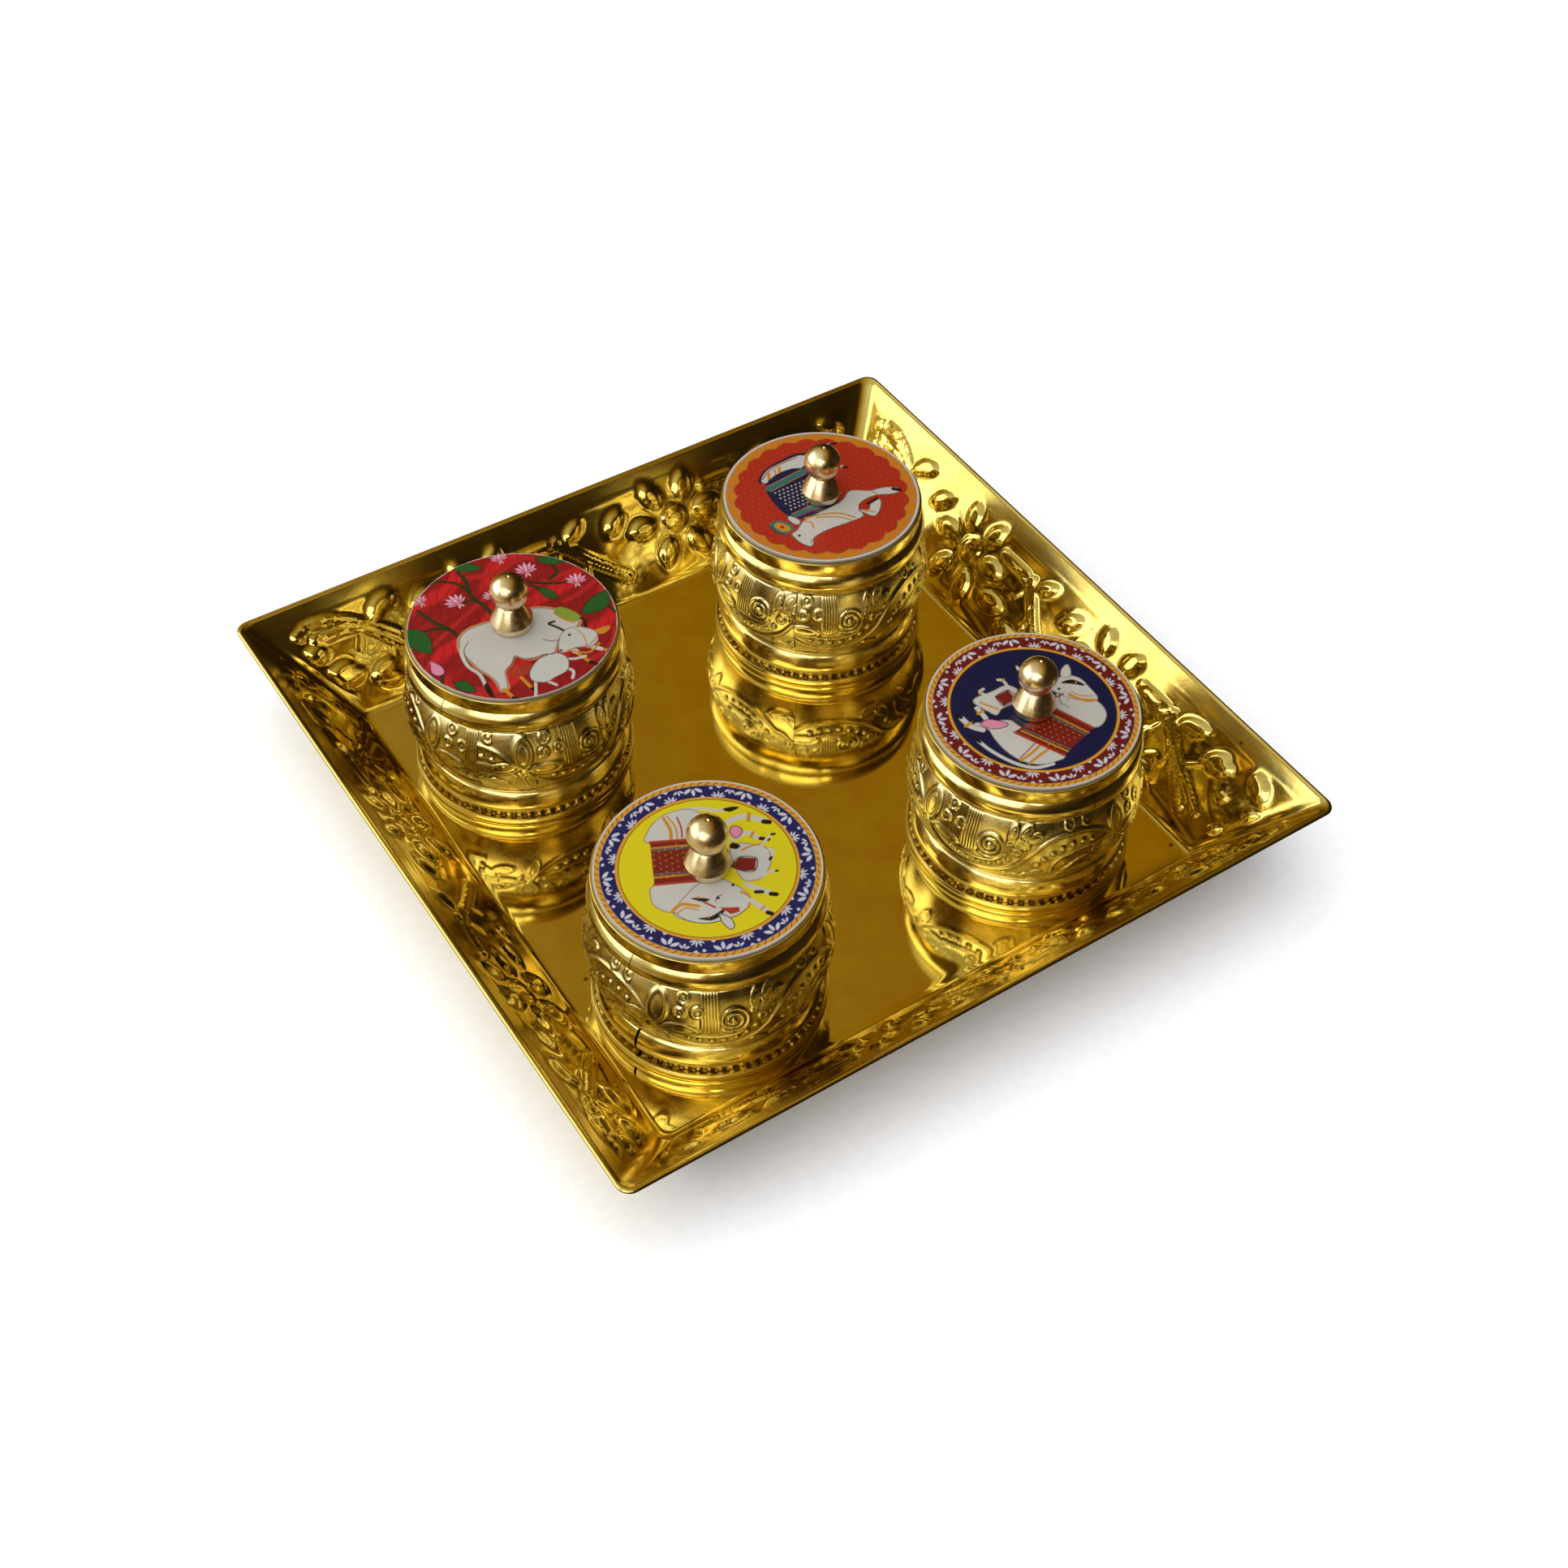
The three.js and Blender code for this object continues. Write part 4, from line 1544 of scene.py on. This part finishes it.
RIGHT_ART = """
line white 1.0 -179 -19 -171 -63 -148 -121 -116 -158 -72 -171
line dark 0.8 -181 4 -178 -21
fill white -157 33 -137 4 -142 -31 -143 -76 -131 -121 -104 -153 -65 -168 -30 -164 -40 -95 -65 -31 -72 -3 -102 14
  -126 14 -143 33
line white 1.5 -169 65 -166 33 -149 8
line gold 0.9 -176 40 -160 42
line dark 1.0 -171 79 -169 69
line white 1.3 -117 74 -119 40 -124 14
line gold 0.8 -126 58 -111 58
line dark 0.8 -130 99 -117 83
fill pink -143 26 -116 29 -84 -6 -102 -13 -130 1
line gold 0.75 -130 -121 -98 -117 -65 -108
line gold 0.75 -120 -140 -88 -133 -56 -128
line rust 0.35 -128 -114 -98 -105 -69 -95
fill white 24 -31 62 0 107 14 130 -27 148 -67 144 -103 121 -127 88 -131 56 -82
fill white 76 33 107 49 140 45 160 21 161 -13 156 -56 134 -58 108 -33 88 -5
fill white 124 49 140 69 163 76 160 58 143 38
fill dark 110 33 139 29 154 6 153 -6 133 14
dots gold 0.3 143 14 88 -23
line gold 0.9 103 -10 117 -38 147 -60
line gold 0.4 113 -5 125 -28 151 -46
line rust 0.5 69 0 92 0
line dark 0.2 76 -44 69 -18 88 8
dots dark 0.4 94 19
fill cloth -88 -38 26 -28 44 -28 83 -131 -34 -163
line rust 0.7 -88 -40 -33 -162
line gold 0.5 -70 -46 -17 -158
line teal 0.35 -61 -46 -8 -155
line gold 0.5 24 -37 63 -136
line teal 0.4 16 -37 54 -138
line rust 0.7 44 -29 83 -129
grid gold 0.18 1.5 -43 -56 37 -140
fill white -113 92 -98 104 -53 100 -15 100 2 85 6 53 -21 36 -65 40 -90 29 -102 53
fill cloth -56 82 -15 83 -19 45 -57 45
line dark 0.25 -56 82 -15 83 -19 45 -57 45 -56 82
line white 0.8 -72 97 -79 114 -65 118
line gold 0.5 -83 110 -75 113
line white 0.8 -8 97 -7 117 -16 124
line gold 0.5 -11 115 -2 118
line gold 0.6 -99 85 -88 65 -75 44
dots dark 0.35 -87 26
line white 1.1 56 110 49 136
line dark 0.8 47 140 42 132
line white 1.1 94 104 96 129
line dark 0.8 96 145 97 133
"""

FRONT_ART = """
line white 0.9 34 178 72 162 106 133 124 126
fill dark 120 129 142 124 156 113 130 113
fill white -80 133 -61 164 -24 183 15 185 53 171 72 141 80 109 60 77 2 79
line gold 0.8 -11 179 -15 141 -28 115
line gold 0.4 -1 179 -1 141 -15 109
line rust 0.4 17 164 10 135 -4 106
line white 1.5 98 88 143 87 170 63 185 45
line dark 1.4 181 45 190 38
line gold 0.9 152 67 165 85
line white 1.3 92 38 130 38 142 13
line dark 1.1 147 6 160 -5
line gold 0.7 130 22 142 31
fill pink 96 62 112 73 125 60 120 44 98 38
fill white -129 19 -156 -10 -158 -41 -135 -73 -94 -85 -37 -64 -11 -26 -30 -6
fill cloth -74 133 7 94 -28 -31 -130 19
line rust 0.7 -74 132 6 92
line gold 0.5 -81 115 -2 77
line teal 0.35 -84 108 -4 71
line gold 0.5 -119 37 -39 -1
line teal 0.35 -115 45 -37 6
line rust 0.7 -129 19 -30 -29
grid gold 0.18 1.5 -101 96 -17 19
fill white -135 -73 -119 -109 -87 -138 -48 -150 -15 -155 17 -147 35 -128 30 -92 15 -59 -11 -28 -75 -41
line dark 0.18 -133 -73 -119 -109 -87 -138 -48 -150 -15 -155 17 -147 35 -128
line gold 0.9 -135 -68 -107 -62 -78 -86
line gold 0.4 -129 -79 -104 -76 -84 -95
fill dark -97 -115 -69 -126 -31 -123 -48 -136 -75 -136
fill dark -81 -58 -62 -68 -46 -83 -62 -82
dots gold 0.35 -75 -124 -65 -65
fill white -49 -128 -35 -154 -39 -177 -51 -181 -57 -156
line dark 0.18 -49 -128 -35 -154 -39 -177 -51 -181 -57 -156 -49 -128
line rust 0.5 -61 -83 -48 -109
fill rust -40 -115 -19 -128 -2 -137 -7 -149 -28 -145
dots dark 0.4 -28 -90 20 -76
line dark 0.2 -39 -96 -28 -86 -17 -87
line gold 0.6 15 -149 34 -128 25 -103
line white 1.3 31 -135 39 -162 46 -178
line dark 1.2 44 -185 49 -192
line gold 0.5 34 -171 48 -165
line white 1.3 47 -90 65 -122 78 -138
line dark 1.2 79 -144 88 -151
line dark 1.0 53 -121 65 -128
fill white 57 -17 72 19 96 22 124 0 139 -15 142 -38 124 -71 90 -92 65 -90 47 -71
fill cloth 44 -28 76 -15 107 -38 85 -67 61 -54
line dark 0.25 44 -28 76 -15 107 -38 85 -67 61 -54 44 -28
fill dark 72 22 85 31 96 14 83 9
line gold 0.5 92 0 117 -1 139 -8
line white 0.7 137 -13 162 0 176 3
line dark 0.7 175 3 181 1
line white 0.7 139 -32 152 -38 139 -55
line dark 0.7 131 -58 137 -54
line white 0.7 92 -90 111 -88 124 -94
line dark 0.6 124 -94 128 -95
"""


def scalloped(sheet: Print) -> None:
    """Print the scalloped rim of the resting cow's disc, and the small pale specks of its ground."""
    angle, radius = np.arctan2(sheet.y, sheet.x), np.hypot(sheet.x, sheet.y)
    rim = 25.6
    sheet.annulus(0, rim, "#b02812")
    for row in range(-13, 14):
        for column in range(-13, 14):
            sheet.dot((1.9 * column + 0.95 * (row % 2), 1.9 * row), 0.16, "#c0593a")
    wave = 22.3 + 1.1 * np.abs(np.sin(12 * angle))
    sheet.lay(np.clip((radius - wave) / sheet.ring_edge + 0.5, 0, 1) * (radius < rim), "#c97a1c")
    sheet.lay(np.clip(1 - np.abs(radius - wave - 0.1) / 0.14, 0, 1), "#7c3410")
    turn = (angle * 24 / math.tau) % 1 - 0.5
    grey = (0.9 - np.abs(turn) * 6.0) - (25.5 - radius)
    sheet.lay(grey / sheet.ring_edge * (radius < 25.5), "#8f8a80")


def pond(sheet: Print) -> None:
    """Print the red ground of the lotus picture, in darker and brighter patches."""
    sheet.annulus(0, 26.1, "#940a14")
    patches = np.sin(0.31 * sheet.x - 0.52 * sheet.y + 1.3 * np.sin(0.22 * sheet.x)) * np.sin(0.17 * sheet.y + 1)
    sheet.lay(0.7 * smooth(1.4 * patches) * (np.hypot(sheet.x, sheet.y) < 26.1), "#e01820")
    streaks = np.sin(2.1 * sheet.x - 1.4 * sheet.y + 2.5 * np.sin(0.4 * sheet.x + 0.3 * sheet.y))
    sheet.lay(0.35 * smooth(2 * streaks - 1), "#5c060e")


def print_face(place: Place, sheet: Print) -> None:
    """Print one lid's picture.

    Args:
        place: Which box the lid belongs to.
        sheet: The disc's face.
    """
    if place is Place.LEFT:
        pond(sheet)
    elif place is Place.BACK:
        scalloped(sheet)
    elif place is Place.RIGHT:
        bordered(sheet, "#6b1512", "#0f1540")
    else:
        bordered(sheet, "#1a1c58", "#dccb00")
    drawing = {Place.LEFT: LEFT_ART, Place.BACK: BACK_ART, Place.RIGHT: RIGHT_ART, Place.FRONT: FRONT_ART}[place]
    for stroke in Stroke.read(drawing):
        stroke.print_on(sheet)
    sheet.annulus(26.2 if place is Place.LEFT else 25.85, 40, "#c9c4ba")


# ---------------------------------------------------------------- studio


class View:
    """Camera angle on the set."""

    FACING = -123.4  # degrees, the way the camera stands from the tray's middle
    PLACE = (-205.1, -312.3, 421.5)
    FORWARD = (0.3825, 0.5441, -0.7467)
    LEVEL = 0.02426  # how far the camera's right side is lifted
    LENS = 49.04
    SHIFT = (-0.0183, -0.0009)

    @classmethod
    def build(cls) -> None:
        """Set up the camera."""
        data = bpy.data.cameras.new("camera")
        data.lens, data.sensor_width = cls.LENS, 36.0
        data.shift_x, data.shift_y = cls.SHIFT
        data.clip_start, data.clip_end = 0.01, 50
        forward = Vector(cls.FORWARD).normalized()
        side = forward.cross(Vector((0, 0, 1))).normalized()
        up = side.cross(forward)
        roll = math.asin(cls.LEVEL / up.z)
        side, up = side * math.cos(roll) + up * math.sin(roll), up * math.cos(roll) - side * math.sin(roll)
        turn = Matrix((side, up, -forward)).transposed().to_4x4()
        camera = bpy.data.objects.new("camera", data)
        camera.matrix_world = Matrix.Translation(Vector(cls.PLACE) * MM) @ turn
        bpy.context.scene.collection.objects.link(camera)
        bpy.context.scene.camera = camera


@dataclass
class Softbox:
    """One rectangular area light aimed at the set."""

    name: str
    place: tuple[float, float, float]  # metres
    size: Point
    power: float
    colour: str = "#ffffff"
    seen: bool = True  # whether the metal mirrors it

    def build(self) -> None:
        """Hang the light."""
        data = bpy.data.lights.new(self.name, "AREA")
        data.shape, data.size, data.size_y = "RECTANGLE", *self.size
        data.energy, data.color = self.power, linear(self.colour)[:3]
        light = bpy.data.objects.new(self.name, data)
        aim = (Vector((0, 0, 0.03)) - Vector(self.place)).to_track_quat("-Z", "Y")
        light.matrix_world = Matrix.Translation(self.place) @ aim.to_matrix().to_4x4()
        light.visible_glossy = self.seen
        bpy.context.scene.collection.objects.link(light)


class Studio:
    """Plain pale floor, soft lights and warm dim surroundings."""

    def build(self) -> None:
        """Build the studio."""
        bpy.context.scene.view_settings.view_transform = "Standard"
        mesh = bmesh.new()
        bmesh.ops.create_grid(mesh, x_segments=1, y_segments=1, size=6)
        data = bpy.data.meshes.new("floor")
        mesh.to_mesh(data)
        mesh.free()
        data.materials.append(self.paper())
        floor = bpy.data.objects.new("floor", data)
        floor.visible_glossy = False
        bpy.context.scene.collection.objects.link(floor)
        self.surroundings()
        Softbox("window", (-1.5, 1.05, 0.8), (2.3, 1.5), 18.5).build()
        Softbox("near_fill", (-1.1, -0.7, 0.95), (1.0, 1.0), 6.5).build()
        Softbox("lamp", (-0.75, -1.6, 1.5), (0.22, 0.3), 1.6).build()
        Softbox("overhead", (-0.1, 0.1, 1.9), (2.6, 2.6), 35, seen=False).build()
        View.build()

    @staticmethod
    def paper() -> bpy.types.Material:
        """Make the matt white paper of the floor, with its faint tooth."""
        material, tree = empty_material("matt_paper")
        place = add_node(tree, "TexCoord").outputs["Object"]
        tooth = add_node(tree, "TexNoise", links={"Vector": place}, Scale=300.0, Detail=2.0)
        colour = ramp(tree, tooth.outputs["Fac"], [(0.3, "#f6f6f6"), (0.7, "#fbfbfb")])
        shader = add_node(tree, "BsdfPrincipled", links={"Base Color": colour.outputs["Color"]}, Roughness=0.9)
        add_node(tree, "OutputMaterial", links={"Surface": shader.outputs[0]})
        return material

    @staticmethod
    def surroundings() -> None:
        """Fill the room with a dim warm glow, lighter towards the window, and its mirror image below."""
        world = bpy.data.worlds.new("room")
        bpy.context.scene.world = world
        world.use_nodes = True
        tree = world.node_tree
        tree.nodes.clear()
        way = add_node(tree, "SeparateXYZ", links={"Vector": add_node(tree, "TexCoord").outputs["Generated"]})
        lifted = add_node(tree, "Math", {"operation": "ABSOLUTE"}, {0: way.outputs["Z"]})
        axes = {"X": way.outputs["X"], "Y": way.outputs["Y"], "Z": lifted.outputs[0]}
        place = add_node(tree, "CombineXYZ", links=axes).outputs[0]
        side = add_node(tree, "VectorMath", {"operation": "DOT_PRODUCT"}, {0: place})
        side.inputs[1].default_value = (-0.5, 0.2, 0.6)
        share = add_node(tree, "MapRange", links={"Value": side.outputs["Value"]}, From_Min=-0.3, From_Max=0.8)
        stops = [(0.0, "#30240f"), (0.12, "#1e1608"), (0.42, "#3a2c10"), (0.6, "#926f12"), (0.7, "#9c864a")]
        stops += [(0.84, "#bcb292"), (1.0, "#d6d2c8")]
        colour = ramp(tree, share.outputs["Result"], stops)
        ray = add_node(tree, "LightPath").outputs
        shown = BrassFinish.blend(tree, ray["Is Diffuse Ray"], colour.outputs["Color"], linear("#b4b4b8"))
        shown = BrassFinish.blend(tree, ray["Is Camera Ray"], shown, linear("#e4e4e4"))
        back = add_node(tree, "Background", links={"Color": shown}, Strength=1.0)
        add_node(tree, "OutputWorld", links={"Surface": back.outputs[0]})


def main() -> None:
    """Build the set, piece by piece, in its studio."""
    logging.basicConfig(level=logging.INFO, format="%(name)s %(message)s")
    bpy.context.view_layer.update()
    finishes = Finishes()
    Studio().build()
    Tray().build(finishes)
    turns = {
        Place.LEFT: (7.9, -15.75, 170.0, -35.0),
        Place.BACK: (-19.0, -13.3, 170.0, 150.0),
        Place.RIGHT: (-56.6, -190.0, 150.0, 29.5),
        Place.FRONT: (-21.9, -190.0, -37.0, -37.0),
    }
    for place, (flower_at, wall_seam, foot_seam, band_seam) in turns.items():
        Box(place, flower_at, wall_seam, foot_seam).build(finishes)
        Lid(place, band_seam).build(finishes)
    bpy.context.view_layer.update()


if __name__ == "__main__":
    main()
